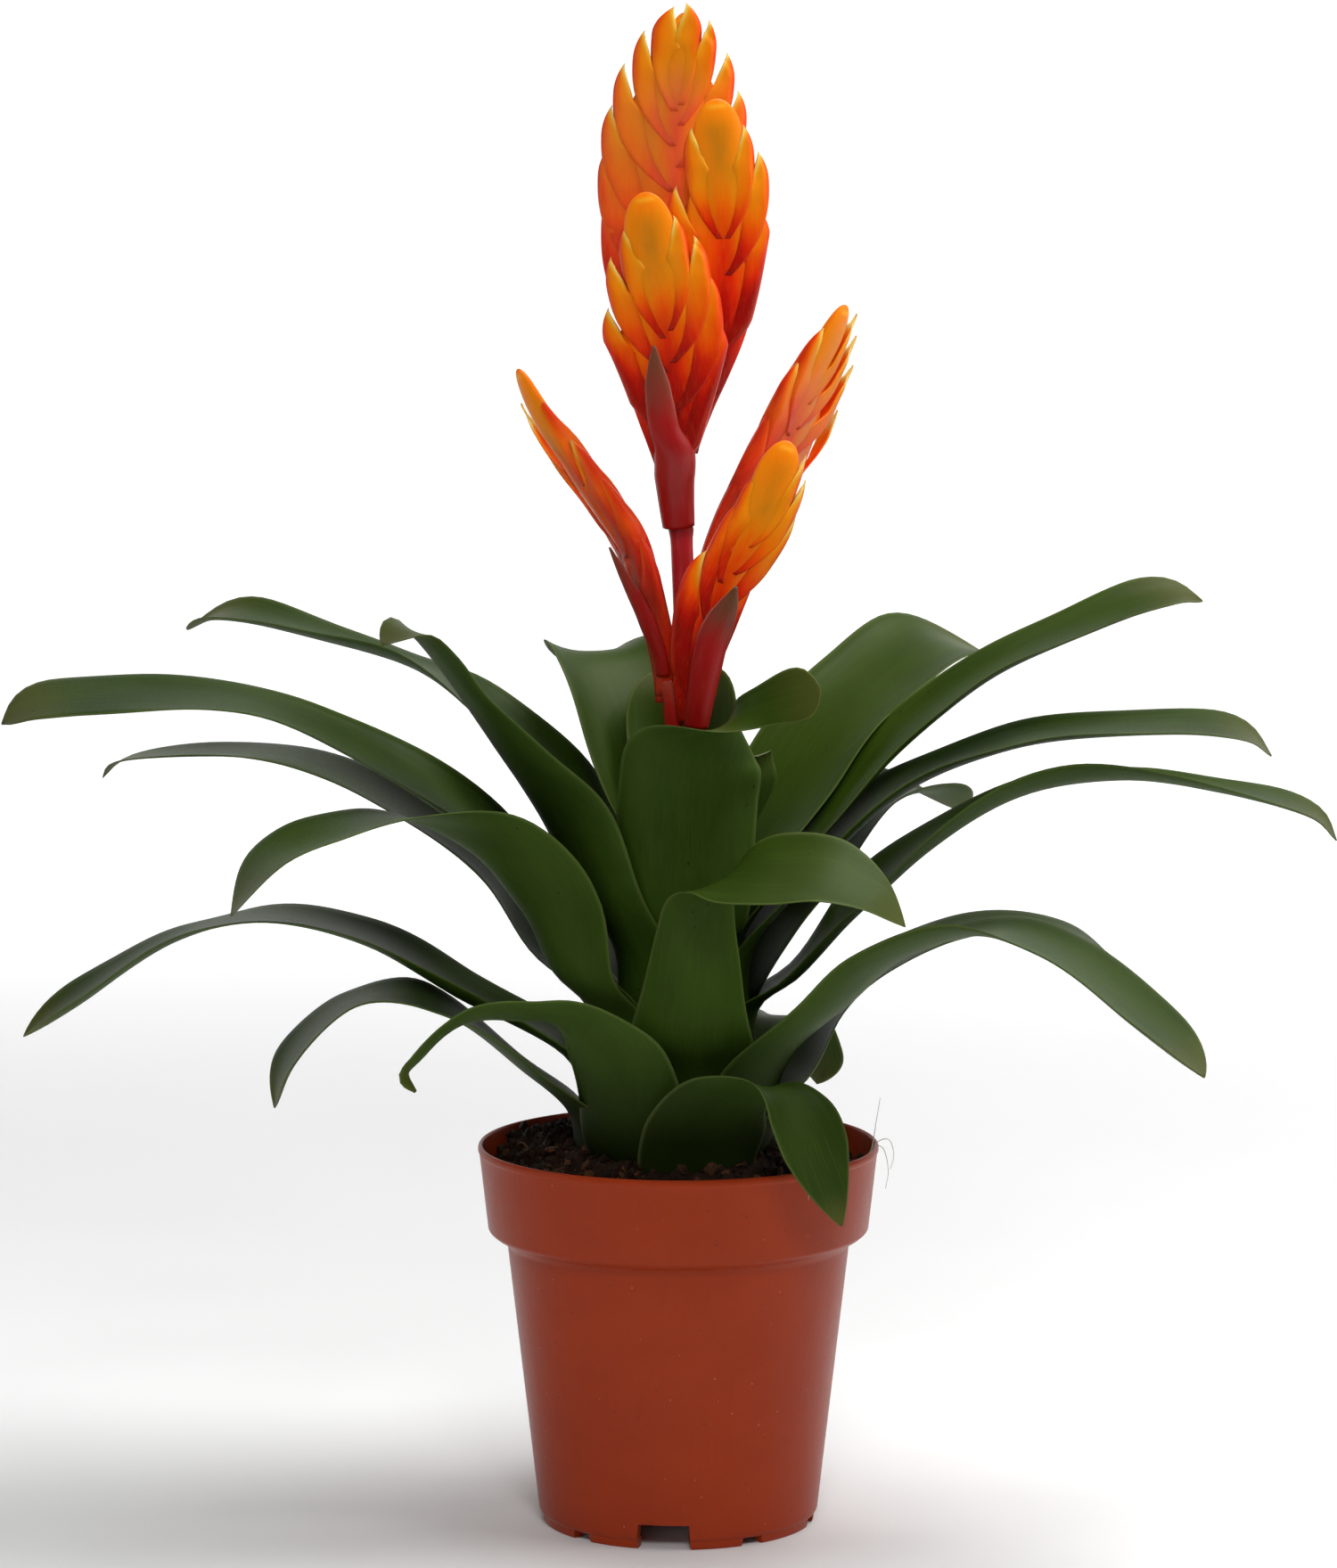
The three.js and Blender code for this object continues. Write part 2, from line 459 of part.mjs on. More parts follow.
// Each leaf stands on the stem in a ring of its own, outside every leaf whose sheath it would meet.
function ringRadii(leaves) {
  const placed = [];
  for (let i = leaves.length - 1; i >= 0; i--) {
    let radius = INNER_RING;
    for (const other of placed) {
      const apart = Math.abs(((leaves[i].heading - other.heading) % 360 + 540) % 360 - 180) * DEG;
      const reach = sheathAngle(other.radius) + sheathAngle(other.radius + RING_PITCH) + 0.1;
      if (apart < reach) radius = Math.max(radius, other.radius + RING_PITCH);
    }
    placed.push({ heading: leaves[i].heading, radius });
  }
  return placed.reverse().map((p) => p.radius);
}

// The half width of a leaf laid flat, a given distance and a share of its length from its foot.
function halfWidth(leaf, distance, share, ring) {
  const sheath = ring * sheathAngle(ring);
  const blade = mix(sheath, leaf.width / 2, smoothstep(15, 80, distance));
  const end = clamp((share - TIP_FROM) / (1 - TIP_FROM));
  return Math.max(0.6, blade * Math.pow(1 - Math.pow(end, 2.4), 0.8));
}

function leafSolid(leaf, ring) {
  const sheath = [];
  for (let z = STEM_TOP + SEAT; z < leaf.rib[0][1] - 10; z += SHEATH_STEP) sheath.push([ring + spread(z), z]);
  const rib = new THREE.CatmullRomCurve3([...sheath, ...leaf.rib].map(([r, z]) => new THREE.Vector3(r, 0, z)));
  const length = rib.getLength();
  const opens = sheath.length / (sheath.length + leaf.rib.length - 1);
  const opensAt = rib.getLengths(200)[Math.round(opens * 200)];
  const place = (share) => {
    const p = rib.getPointAt(clamp(share));
    const turn = (leaf.heading + leaf.swing * Math.pow(clamp((share - 0.3) / 0.7), 1.3)) * DEG;
    return { r: p.x, turn, at: new THREE.Vector3(p.x * Math.cos(turn), p.x * Math.sin(turn), p.z) };
  };
  const up = new THREE.Vector3(0, 0, 1);
  const rows = LEAF_ROWS.map((share) => {
    const here = place(share);
    const distance = share * length;
    const tangent = place(share + 0.01).at.sub(place(share - 0.01).at).normalize();
    const round = new THREE.Vector3(-Math.sin(here.turn), Math.cos(here.turn), 0);
    const side = round.addScaledVector(tangent, -round.dot(tangent)).normalize();
    side.applyAxisAngle(tangent, along(leaf.roll, share) * DEG);
    const inward = tangent.clone().cross(side);
    const curl = along(leaf.channel, share) * DEG;
    const isBlade = smoothstep(opensAt - 15, opensAt + 35, distance);
    const flat = halfWidth(leaf, distance, share, ring);
    const half = Math.min(flat, mix(here.r * SHEATH_MOST_ANGLE, flat, isBlade));
    const outer = [];
    const inner = [];
    for (let k = 0; k <= LEAF_ACROSS; k++) {
      const v = 2 * k / LEAF_ACROSS - 1;
      const bend = v * curl;
      const radius = half / curl;
      const blade = here.at.clone()
        .addScaledVector(side, radius * Math.sin(bend))
        .addScaledVector(inward, radius * (1 - Math.cos(bend)));
      const bladeNormal = inward.clone().multiplyScalar(Math.cos(bend)).addScaledVector(side, -Math.sin(bend));
      const swing = v * half / Math.max(here.r, 1);
      const sheathPoint = here.at.clone().applyAxisAngle(up, swing);
      const sheathNormal = inward.clone().applyAxisAngle(up, swing);
      const at = sheathPoint.lerp(blade, isBlade);
      const normal = sheathNormal.lerp(bladeNormal, isBlade).normalize();
      outer.push(at.clone().addScaledVector(normal, -LEAF_THICKNESS / 2));
      inner.push(at.clone().addScaledVector(normal, LEAF_THICKNESS / 2));
    }
    return [...outer, ...inner.reverse()];
  });
  rows[0].forEach((p) => p.setZ(STEM_TOP + SEAT));
  return skin(rows);
}

// A spike's own frame: a point by its distance along the axis, across the broad side and out of it.
function spikePlacer(spike) {
  const axis = new THREE.CatmullRomCurve3(spike.axis.map(([x, y, z]) => new THREE.Vector3(x, y, z)));
  const facing = new THREE.Vector3(Math.cos(spike.facing * DEG), Math.sin(spike.facing * DEG), 0);
  const length = axis.getLength();
  const place = (distance, across, out) => {
    const share = clamp(distance / length);
    const way = axis.getTangentAt(share);
    const front = facing.clone().addScaledVector(way, -facing.dot(way)).normalize();
    const right = way.clone().cross(front);
    return axis.getPointAt(share).addScaledVector(right, across).addScaledVector(front, out);
  };
  return { length, place };
}

// One folded bract: its keel runs out from the axis and curls in at the tip, and its margins clasp the axis.
function bractSolid(spike, place, foot, tip, reach, side) {
  const rows = BRACT_ROWS.map((q) => {
    const distance = mix(foot, tip, q);
    const keelAt = (x) => 0.1 + 0.92 * Math.sin(0.64 * Math.PI * x) - 0.08 * smoothstep(0.8, 1, x);
    const keel = Math.min(reach * keelAt(q), spike.stalk + spike.widening * distance);
    const margin = Math.min(keel - 0.5, mix(-1.5, 0, q) + reach * keelAt(1) * Math.pow(q, 0.65));
    const middle = mix(keel, margin, 0.45);
    const thick = mix(0.5, BRACT_THICKNESS, Math.pow(1 - q, 0.6));
    const edge = Math.min(BRACT_EDGE, thick);
    return [
      place(distance, side * keel, edge),
      place(distance, side * middle, mix(edge, thick, 0.7)),
      place(distance, side * margin, thick),
      place(distance, side * margin, -thick),
      place(distance, side * middle, -mix(edge, thick, 0.7)),
      place(distance, side * keel, -edge),
    ];
  });
  return solidOf(skin(rows));
}

// The spike's body, from its stalk to the blunt dome of its last bracts
function coreSolid(spike, place, length) {
  const depths = [20, 12, 6, 2.4, 0.6, 0];
  const stalk = spike.core.filter(([distance]) => distance < length - 24).map(([distance]) => distance);
  const rows = [...stalk, ...depths.map((depth) => length - depth)].map((distance) => {
    const depth = length - distance;
    const crown = Math.sqrt(1 - Math.pow(clamp(1 - (depth + 0.3) / 14), 2));
    const fade = smoothstep(24, 10, depth);
    const half = mix(along(spike.core, distance, 1), spike.dome, fade) * (depth < 14 ? crown : 1);
    const thick = mix(along(spike.core, distance, 2), 2, fade) * (depth < 14 ? crown : 1);
    return [
      place(distance, -half, 0.3),
      place(distance, -0.55 * half, thick),
      place(distance, 0.55 * half, thick),
      place(distance, half, 0.3),
      place(distance, half, -0.3),
      place(distance, 0.55 * half, -thick),
      place(distance, -0.55 * half, -thick),
      place(distance, -half, -0.3),
    ];
  });
  return solidOf(skin(rows));
}

function spikeSolid(spike) {
  const { length, place } = spikePlacer(spike);
  const bracts = [[1, spike.right], [-1, spike.left]].flatMap(([side, ends]) => ends.map(([depth, reach]) => {
    const foot = Math.max(2, length - depth - BRACT_LENGTH - BRACT_LENGTHENING * depth);
    return bractSolid(spike, place, foot, length - depth, reach, side);
  }));
  return wasm.Manifold.union([coreSolid(spike, place, length), ...bracts]);
}

// One broad bract of the flower stem, a thin blade curved about its own line
function stemBractSolid(bract) {
  const line = new THREE.CatmullRomCurve3(bract.path.map(([x, y, z]) => new THREE.Vector3(x, y, z)));
  const facing = new THREE.Vector3(Math.cos(bract.facing * DEG), Math.sin(bract.facing * DEG), 0);
  const rows = STEM_BRACT_ROWS.map((share) => {
    const way = line.getTangentAt(share);
    const front = facing.clone().addScaledVector(way, -facing.dot(way)).normalize();
    const right = way.clone().cross(front);
    const curl = along(bract.curl, share) * DEG;
    const radius = along(bract.half, share) / Math.sin(curl);
    const outer = [];
    const inner = [];
    for (const v of [-1, -0.5, 0, 0.5, 1]) {
      const normal = front.clone().multiplyScalar(Math.cos(v * curl)).addScaledVector(right, Math.sin(v * curl));
      const at = line.getPointAt(share).addScaledVector(front, -radius).addScaledVector(normal, radius);
      outer.push(at.clone().addScaledVector(normal, BRACT_EDGE));
      inner.push(at.clone().addScaledVector(normal, -BRACT_EDGE));
    }
    return [...outer, ...inner.reverse()];
  });
  return skin(rows);
}

const vriesea = new THREE.Group();

function add(name, geometry, material) {
  const mesh = new THREE.Mesh(geometry, material);
  mesh.name = name;
  vriesea.add(mesh);
}

const terracotta = new THREE.MeshStandardMaterial({ color: 0xa34a2c, roughness: 0.5, metalness: 0 });
const earth = new THREE.MeshStandardMaterial({ color: 0x2b1d17, roughness: 0.95, metalness: 0 });
const leafGreen = new THREE.MeshStandardMaterial({ color: 0x35502a, roughness: 0.45, metalness: 0 });
const crimson = new THREE.MeshStandardMaterial({ color: 0x9c1414, roughness: 0.5, metalness: 0 });
const orange = new THREE.MeshStandardMaterial({ color: 0xe8641a, roughness: 0.45, metalness: 0 });

add('pot', geometryOf(potSolid()), terracotta);
add('potting_mix', soilSolid(), earth);
add('flower_stem', geometryOf(stemSolid()), crimson);
const rings = ringRadii(LEAVES);
LEAVES.forEach((leaf, i) => add(leaf.name, leafSolid(leaf, rings[i]), leafGreen.clone()));
SPIKES.forEach((spike) => add(spike.name, geometryOf(spikeSolid(spike)), orange.clone()));
STEM_BRACTS.forEach((bract) => add(bract.name, stemBractSolid(bract), crimson.clone()));

export default vriesea;
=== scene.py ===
# A flowering vriesea in a terracotta nursery pot, on a pale studio floor
import math
import bmesh
import bpy
import numpy as np
from mathutils import Matrix, Vector


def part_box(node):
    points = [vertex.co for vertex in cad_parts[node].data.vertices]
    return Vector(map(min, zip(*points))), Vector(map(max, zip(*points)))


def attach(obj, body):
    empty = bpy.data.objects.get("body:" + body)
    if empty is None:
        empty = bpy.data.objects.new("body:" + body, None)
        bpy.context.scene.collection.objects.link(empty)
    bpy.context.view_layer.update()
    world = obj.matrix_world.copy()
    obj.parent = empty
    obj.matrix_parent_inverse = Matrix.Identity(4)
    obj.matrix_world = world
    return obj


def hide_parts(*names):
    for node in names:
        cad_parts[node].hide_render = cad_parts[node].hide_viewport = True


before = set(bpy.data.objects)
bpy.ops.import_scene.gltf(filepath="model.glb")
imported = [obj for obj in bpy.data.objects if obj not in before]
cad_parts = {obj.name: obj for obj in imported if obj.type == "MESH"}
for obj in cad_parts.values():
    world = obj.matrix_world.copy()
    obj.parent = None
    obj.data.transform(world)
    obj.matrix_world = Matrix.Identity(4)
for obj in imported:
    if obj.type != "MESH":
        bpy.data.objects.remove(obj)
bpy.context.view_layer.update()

MM = 0.001
DEG = math.pi / 180
low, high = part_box("pot")
POT_AXIS = np.array([(low[0] + high[0]) / 2, (low[1] + high[1]) / 2, 0])
CURVE_STEPS = 200
chance = np.random.default_rng(7)

# The plant and pot are in mm about the pot's axis, up from the floor, with angles in degrees. First the pot
RIM_RADIUS = 60
POT_HEIGHT = 115
BAND_DROP = 27
BAND_FOOT_RADIUS = 57
WALL_TOP_RADIUS = 51.6
WALL_FOOT_RADIUS = 42
WALL = 1.4
WALL_WAVE = 0.12
FOOT_HEIGHT = 3
FOOT_INNER = 37.5
FOOT_OUTER = 40.8
FLOOR_TOP = 10
LONGEST_RUN = 6
SLOT_HEADING = -96
SLOT_HALF_ANGLE = 11.5
SLOT_HEIGHT = 7.8
FOOT_GAPS = (38.5, 81.5)
FOOT_GAP_HALF_ANGLE = 5.5
CUT_TAPER = 1.2
POT_SIDES = 192

# The potting mix
SOIL_LEVEL = 105
SOIL_RADIUS = 57.6
SOIL_SIDES = 150
HEAP = (-44, 22)
HEAP_HEIGHT = 7
HEAP_SPREAD = 11
MOUND = 9
MOUND_FROM = 35
CRUMBS = 2300
CRUMBS_FROM = 24

# The leaves and their nest of sheaths on the stem
STEM_TOP = 92
SEAT = 0.3
LEAF_THICKNESS = 0.8
LEAF_ROWS = 72
LEAF_ACROSS = 13
SECTION_STEPS = 40
EDGE_WAVE = 0.35
RING_PITCH = 1.6
INNER_RING = 7
SHEATH_HALF_WIDTH = 24
SHEATH_MOST_ANGLE = 62 * DEG
SHEATH_STEP = 16
SHEATH_CLEARANCE = 10
BLADE_WIDENS = (15, 80)
BLADE_OPENS = (-15, 35)
SPREAD_FROM = 106
SPREAD_TO = 230
SPREAD = 7
TIP_FROM = 0.87
TIP_TAPER = 2.4
LEAST_HALF_WIDTH = 0.25
RIB_STEPS = 160
TANGENT_REACH = 0.008
CHANNEL_POWER = 1.5

# The leaves from the outermost in. Each has the direction in which it leaves the plant and the full width of
# its blade, by share of its length half its channel's angle and its roll about the rib, and its rib above the
# sheath as distance from the axis and height, or as a path in x, y and z where it bends aside. Some also have
# widths by share of the length, the share where the point starts, and a taper: the greater, the blunter.
LEAVES = (
    {"name": "leaf_front_low", "heading": -77, "width": 36, "point": 0.68, "taper": 1.5,
     "widths": ((0, 0.6), (0.3, 0.85), (0.45, 0.66), (0.54, 0.44), (0.65, 0.6), (0.8, 0.82), (1, 0.82)),
     "channel": ((0.4, 30), (1, 16)), "roll": ((0.4, 0), (0.55, 15), (0.7, 45), (1, 45)),
     "path": ((6, -36, 114), (8, -38, 123), (11, -42, 131), (16, -47, 137), (22, -53, 141), (29, -59, 141),
              (35, -64, 134), (40, -68, 122), (47, -72, 104))},
    {"name": "leaf_left_low", "heading": -168, "width": 32, "channel": ((0.4, 38), (0.7, 7), (1, 24)),
     "roll": ((0.4, 0), (0.6, -10), (0.72, 3), (1, 0)),
     "rib": ((49, 140), (70, 157), (83, 162), (100, 160), (117, 144), (122, 130))},
    {"name": "leaf_front_left_low", "heading": -115, "width": 34,
     "widths": ((0, 0.5), (0.25, 0.8), (0.42, 0.9), (0.51, 0.65), (0.6, 0.55), (0.77, 0.55), (0.9, 0.4),
                (1, 0.3)),
     "channel": ((0.4, 40), (0.7, 20), (1, 17)), "roll": ((0.4, 0), (0.6, 0), (1, 0)),
     "path": ((-15, -31, 119), (-16, -35, 134), (-20, -41, 147), (-27, -48, 157), (-35, -54, 162),
              (-44, -58, 163), (-53, -61, 164), (-61, -63, 163), (-68, -65, 159), (-75, -66, 152),
              (-79, -66, 147), (-76, -65, 142))},
    {"name": "leaf_back_right_low", "heading": 60, "width": 23, "channel": ((0.4, 36), (1, 32)),
     "roll": ((0.4, -21), (1, 17)),
     "rib": ((46, 136), (59, 144), (73, 140), (84, 127), (87, 119))},
    {"name": "leaf_back_low", "heading": 103, "width": 29, "channel": ((0.4, 39), (1, 12)),
     "roll": ((0.4, -30), (1, 6)),
     "rib": ((37, 142), (61, 159), (80, 158), (87, 150), (94, 143))},
    {"name": "leaf_right_low_back", "heading": 14, "width": 30, "channel": ((0.4, 21), (1, 15)),
     "roll": ((0.4, 0), (1, 6)),
     "rib": ((40, 137), (49, 154), (63, 166), (93, 176), (125, 172), (142, 159))},
    {"name": "leaf_right_low", "heading": -30, "width": 42, "channel": ((0.4, 45), (0.7, 19), (1, 24)),
     "roll": ((0.4, 4), (0.6, -4), (1, -8)),
     "rib": ((34, 142), (56, 161), (72, 175), (103, 186), (128, 181), (156, 163), (173, 150))},
    {"name": "leaf_left_middle", "heading": 180, "width": 39, "channel": ((0.4, 38), (0.7, 5), (1, 36)),
     "roll": ((0.3, 0), (0.45, -2), (0.6, 0), (0.72, 3), (0.84, 0), (1, -8)),
     "rib": ((33, 141), (66, 160), (93, 176), (124, 183), (149, 177), (179, 158), (196, 147))},
    {"name": "leaf_front_middle", "heading": -80, "width": 40, "point": 0.72, "taper": 1.7,
     "widths": ((0, 0.9), (0.3, 1.0), (0.43, 0.8), (0.53, 0.62), (0.62, 0.6), (0.7, 0.9), (0.86, 1.05),
                (1, 1.05)),
     "channel": ((0.25, 36), (0.42, 50), (0.6, 30), (0.75, 16), (1, 12)),
     "roll": ((0.5, 0), (0.58, 18), (0.68, 56), (0.8, 60), (1, 50)),
     "path": ((4, -34, 151), (5, -36, 167), (6, -39, 184), (8, -44, 196), (13, -50, 202), (21, -56, 204),
              (31, -61, 205), (43, -65, 205), (55, -68, 200), (65, -70, 191))},
    {"name": "leaf_front_left_middle", "heading": -147, "width": 32,
     "channel": ((0.4, 41), (0.7, 17), (1, 14)),
     "roll": ((0.3, 21), (0.45, 26), (0.6, 20), (0.72, 4), (0.84, -4), (1, 17)),
     "rib": ((37, 168), (44, 189), (62, 209), (85, 218), (105, 220), (138, 211), (152, 196))},
    {"name": "leaf_back_left_middle", "heading": 110, "width": 34, "channel": ((0.4, 21), (1, 36)),
     "roll": ((0.4, 54), (1, -33)),
     "rib": ((29, 147), (48, 172), (70, 184), (84, 188), (97, 171))},
    {"name": "leaf_right_middle", "heading": -8, "width": 36, "point": 0.9,
     "widths": ((0, 1), (0.7, 1), (1, 0.7)), "channel": ((0.4, 37), (0.7, 37), (1, 11)),
     "roll": ((0.3, 9), (0.45, 12), (0.6, -4), (0.72, -10), (1, 6)),
     "rib": ((37, 167), (55, 188), (77, 207), (103, 222), (130, 227), (156, 225), (189, 217), (195, 210))},
    {"name": "leaf_left_back", "heading": 165, "width": 27, "channel": ((0.4, 33), (0.7, 8), (1, 8)),
     "roll": ((0.3, -6), (0.45, -4), (0.6, -6), (0.72, -4), (1, 0)),
     "rib": ((43, 172), (58, 193), (87, 214), (118, 227), (147, 228), (177, 224), (182, 219))},
    {"name": "leaf_back_right_middle", "heading": 41, "width": 37, "channel": ((0.4, 33), (1, 39)),
     "roll": ((0.4, 9), (1, 0)),
     "rib": ((36, 178), (50, 190), (75, 211), (97, 213), (116, 205))},
    {"name": "leaf_left_long", "heading": 187, "width": 41, "point": 0.93,
     "widths": ((0, 1), (0.6, 0.95), (0.8, 0.8), (1, 0.62)), "channel": ((0.4, 42), (0.7, 19), (1, 5)),
     "roll": ((0.3, 0), (0.45, -16), (0.6, -13), (0.72, -7), (1, -21)),
     "rib": ((33, 173), (46, 194), (67, 216), (100, 237), (131, 249), (190, 250), (200, 244))},
    {"name": "leaf_right_long", "heading": 7, "width": 41, "point": 0.92,
     "widths": ((0, 1), (0.5, 0.92), (0.75, 0.75), (1, 0.62)), "channel": ((0.4, 41), (0.7, 28), (1, 16)),
     "roll": ((0.3, 18), (0.45, 4), (0.6, -2), (0.72, 4), (1, 14)),
     "rib": ((33, 189), (48, 205), (65, 219), (92, 231), (115, 236), (171, 236), (180, 229))},
    {"name": "leaf_back_middle", "heading": 82, "width": 30, "channel": ((0.4, 20), (1, 15)),
     "roll": ((0.4, 12), (1, -9)),
     "rib": ((29, 190), (41, 202), (56, 212), (73, 210), (88, 202), (94, 190))},
    {"name": "leaf_left_tall", "heading": -150, "width": 38, "channel": ((0.4, 25), (0.7, 30), (1, 8)),
     "roll": ((0.3, 0), (0.45, 15), (0.6, 9), (0.84, -11), (1, -5)),
     "rib": ((29, 193), (39, 216), (56, 235), (72, 254), (84, 269), (90, 274), (99, 270))},
    {"name": "leaf_right_tall", "heading": 17, "width": 36, "point": 0.92,
     "widths": ((0, 1), (0.4, 0.95), (0.6, 0.85), (0.8, 0.76), (1, 0.6)),
     "channel": ((0.4, 36), (0.7, 39), (1, 28)),
     "roll": ((0.3, 12), (0.45, 5), (0.72, 1), (0.84, 8), (1, 23)),
     "rib": ((30, 194), (44, 209), (68, 232), (96, 252), (125, 265), (157, 275), (167, 273))},
    {"name": "leaf_back_left_tall", "heading": 155, "width": 38, "point": 0.92,
     "widths": ((0, 1), (0.6, 0.95), (1, 0.8)), "channel": ((0.4, 37), (0.7, 25), (1, 25)),
     "roll": ((0.3, -15), (0.5, -3), (0.72, 12), (0.84, 4), (1, -12)),
     "rib": ((26, 197), (42, 223), (63, 241), (82, 252), (117, 261), (154, 267), (167, 262))},
    {"name": "leaf_back_right_tall", "heading": 44, "width": 41, "channel": ((0.4, 33), (0.7, 26), (1, 26)),
     "roll": ((0.3, 18), (0.45, 0), (0.6, 6), (0.84, 10), (1, 17)),
     "rib": ((28, 199), (44, 215), (67, 237), (85, 247.5), (110, 257.5), (134, 252))},
    {"name": "leaf_front_tall", "heading": -92, "width": 46, "point": 0.9, "taper": 6,
     "widths": ((0, 0.75), (0.5, 0.92), (0.76, 0.92), (0.81, 0.66), (0.85, 0.34), (0.9, 0.24),
                (0.95, 0.33), (1, 0.42)),
     "channel": ((0.4, 30), (0.7, 30), (0.85, 20), (1, 10)),
     "roll": ((0.74, 0), (0.8, 20), (0.85, 75), (0.9, 125), (0.95, 140), (1, 140)),
     "path": ((2, -23, 184), (2, -26, 199), (2, -29, 213), (3, -33, 226), (5, -38, 236), (10, -43, 243.5),
              (17, -47, 248.5), (26, -50, 253), (34, -52, 256), (41, -53, 258))},
    {"name": "leaf_right_inner", "heading": -47, "width": 36, "channel": ((0.4, 54), (1, 14)),
     "roll": ((0.4, -15), (1, 3)),
     "rib": ((18, 204), (27, 225), (29, 233), (35, 235))},
    {"name": "leaf_back_left_inner", "heading": 118, "width": 41, "channel": ((0.4, 39), (1, 35)),
     "roll": ((0.4, -12), (1, 3)),
     "rib": ((18, 215), (33, 244), (48, 257), (57, 257), (66, 251))},
    {"name": "leaf_back_inner", "heading": 85, "width": 37, "channel": ((0.4, 50), (1, 29)),
     "roll": ((0.4, -9), (1, -9)),
     "rib": ((19, 233), (23, 248), (32, 257))},
)

# The flower's scape, as x, y and z, and where along it which joints swell by how much
SCAPE = ((0, 0, 84), (1, 0, 120), (2.5, 0, 180), (3, 0, 240), (1.8, 0, 274), (0.6, -0.6, 304))
SCAPE_RINGS = ((0.975, 0.6), (0.71, 0.25))
SCAPE_SIDES = 28

# The flat flower spikes. Each has the direction that its broad side faces, the half width of its tip's dome
# and how far below the tip that ends, the half width of its stalk and how fast it widens above, how long its
# bracts' tips stand free, between which shares of its length it turns from crimson to orange, how olive its
# dome and how flushed with pink its middle is, and its axis. For each side it has its bracts' ends: how far
# down from the tip and how far out from the axis, and for some how far one hooks in and how broad it is.
SPIKES = (
    {"name": "spike_top", "facing": -90, "dome": 4.3, "dome_drop": 3, "stalk": 3.4, "widening": 0.24,
     "free": 1, "ripe": (0.18, 0.86), "olive": 0.1, "flush": 0.9,
     "axis": ((0.2, 0, 299.7), (-0.2, 0.5, 317), (-2, 6, 336), (-2, 9.5, 360), (-1, 10, 400), (0, 10, 430),
              (1.8, 9, 454)),
     "right": ((0, 5.8, 5.3), (4.5, 10.5), (13.6, 16.5), (25, 20.6), (37, 22.4), (50, 22.4)),
     "left": ((1.4, 9, 6), (9, 14), (19, 19.2), (31, 22.3), (43, 23), (57, 21.6))},
    {"name": "spike_right", "facing": -84, "dome": 7.6, "dome_drop": 0, "stalk": 1.2, "widening": 0.2,
     "free": 1, "ripe": (0.18, 0.86), "olive": 0.9, "flush": 0.0,
     "axis": ((4.8, -2.7, 322), (6, -1.8, 330), (7.6, -0.4, 338), (9.8, 0.6, 347), (12, 1, 358),
              (13, 1, 371), (12.5, 0.5, 395), (11, 0, 426)),
     "right": ((8, 10.5), (16, 14.5), (33, 14.4)), "left": ((8, 10.5), (25, 16), (42, 15))},
    {"name": "spike_front", "facing": -92, "dome": 7.6, "dome_drop": 0, "stalk": 5.5, "widening": 0.33,
     "free": 1, "ripe": (0.04, 0.82), "olive": 0.9, "flush": 0.0,
     "axis": ((-1.5, -5, 317), (-1.8, -7.4, 330), (-3.2, -9.2, 357), (-8, -9.6, 385), (-10.2, -9.4, 399)),
     "right": ((8, 10.5), (15, 15.5), (26, 17), (39, 17.5)), "left": ((9.5, 10), (17, 15.5), (31.5, 19))},
    {"name": "spike_low_left", "facing": -152, "dome": 4, "dome_drop": 0, "stalk": 2, "widening": 0.33,
     "free": 1.5, "ripe": (0.05, 0.75), "olive": 0.0, "flush": 0.3,
     "axis": ((-3.6, -0.6, 248), (-4.2, -0.6, 257), (-5.8, -0.6, 265), (-10, -0.8, 281), (-14.5, -1, 295),
              (-20, -1.5, 304), (-30.5, -2.5, 320), (-40.5, -3, 334), (-47.4, -3.5, 347)),
     "right": ((7, 4.5), (26, 7.5), (38, 9), (58, 9.5)),
     "left": ((10, 8.8, 0.4, 1.3), (22, 10.8, 0.4, 1.3), (44, 7.5, 2))},
    {"name": "spike_low_back", "facing": -35, "dome": 5, "dome_drop": 0, "stalk": 3.5, "widening": 0.3,
     "free": 1.6, "ripe": (0.1, 0.85), "olive": 0.15, "flush": 0.6,
     "axis": ((6.1, 4.5, 272), (10, 7, 286), (15.4, 8, 299.6), (22.6, 8, 313), (30.4, 8, 327),
              (38, 8, 343), (44.5, 8, 355), (49.6, 8, 365.2)),
     "right": ((1, 8.4, 1.2, 4.6), (7, 13.2, 1.2, 5), (15, 18.6, 1.2, 5.4), (30, 22.4, 0.8, 3)),
     "left": ((9, 8), (21, 10.5), (34, 10.5), (51, 8.5))},
    {"name": "spike_low_right", "facing": -78, "dome": 6.5, "dome_drop": 0, "stalk": 5, "widening": 0.19,
     "free": 1.25, "ripe": (0.05, 0.75), "olive": 0.8, "flush": 0.0,
     "axis": ((4.4, -6.6, 243), (4.8, -7.6, 252), (5.7, -8.3, 261), (7.7, -8.5, 270), (12.6, -8.5, 284),
              (18, -8.5, 294), (24.6, -8.5, 306), (32.5, -8, 326)),
     "right": ((2.2, 7.6, 1.2, 4), (9, 10.2, 1.2, 4.4), (19.3, 11.4, 1.2, 4.4), (39.7, 9.2, 1.4, 4.4)),
     "left": ((12, 8), (21, 9), (40, 11.5))},
)

# What all bracts of the spikes have in common, in mm, and how finely they and the domes are made
BRACT_LENGTH = 30
BRACT_LENGTHENING = 0.35
BRACT_HOOK = 9
BRACT_KEEL_FOOT = 2.5
BRACT_MARGIN_FOOT = 4
BRACT_SKIN = 0.42
USUAL_HOOK = 2.9
BRACT_STEPS = np.concatenate([
    np.linspace(0, 0.55, 12)[:-1],
    np.linspace(0.55, 0.9, 14)[:-1],
    np.linspace(0.9, 1, 9),
])
FLANKS = np.linspace(1, -1, 21)
DOME_SIDES = 44

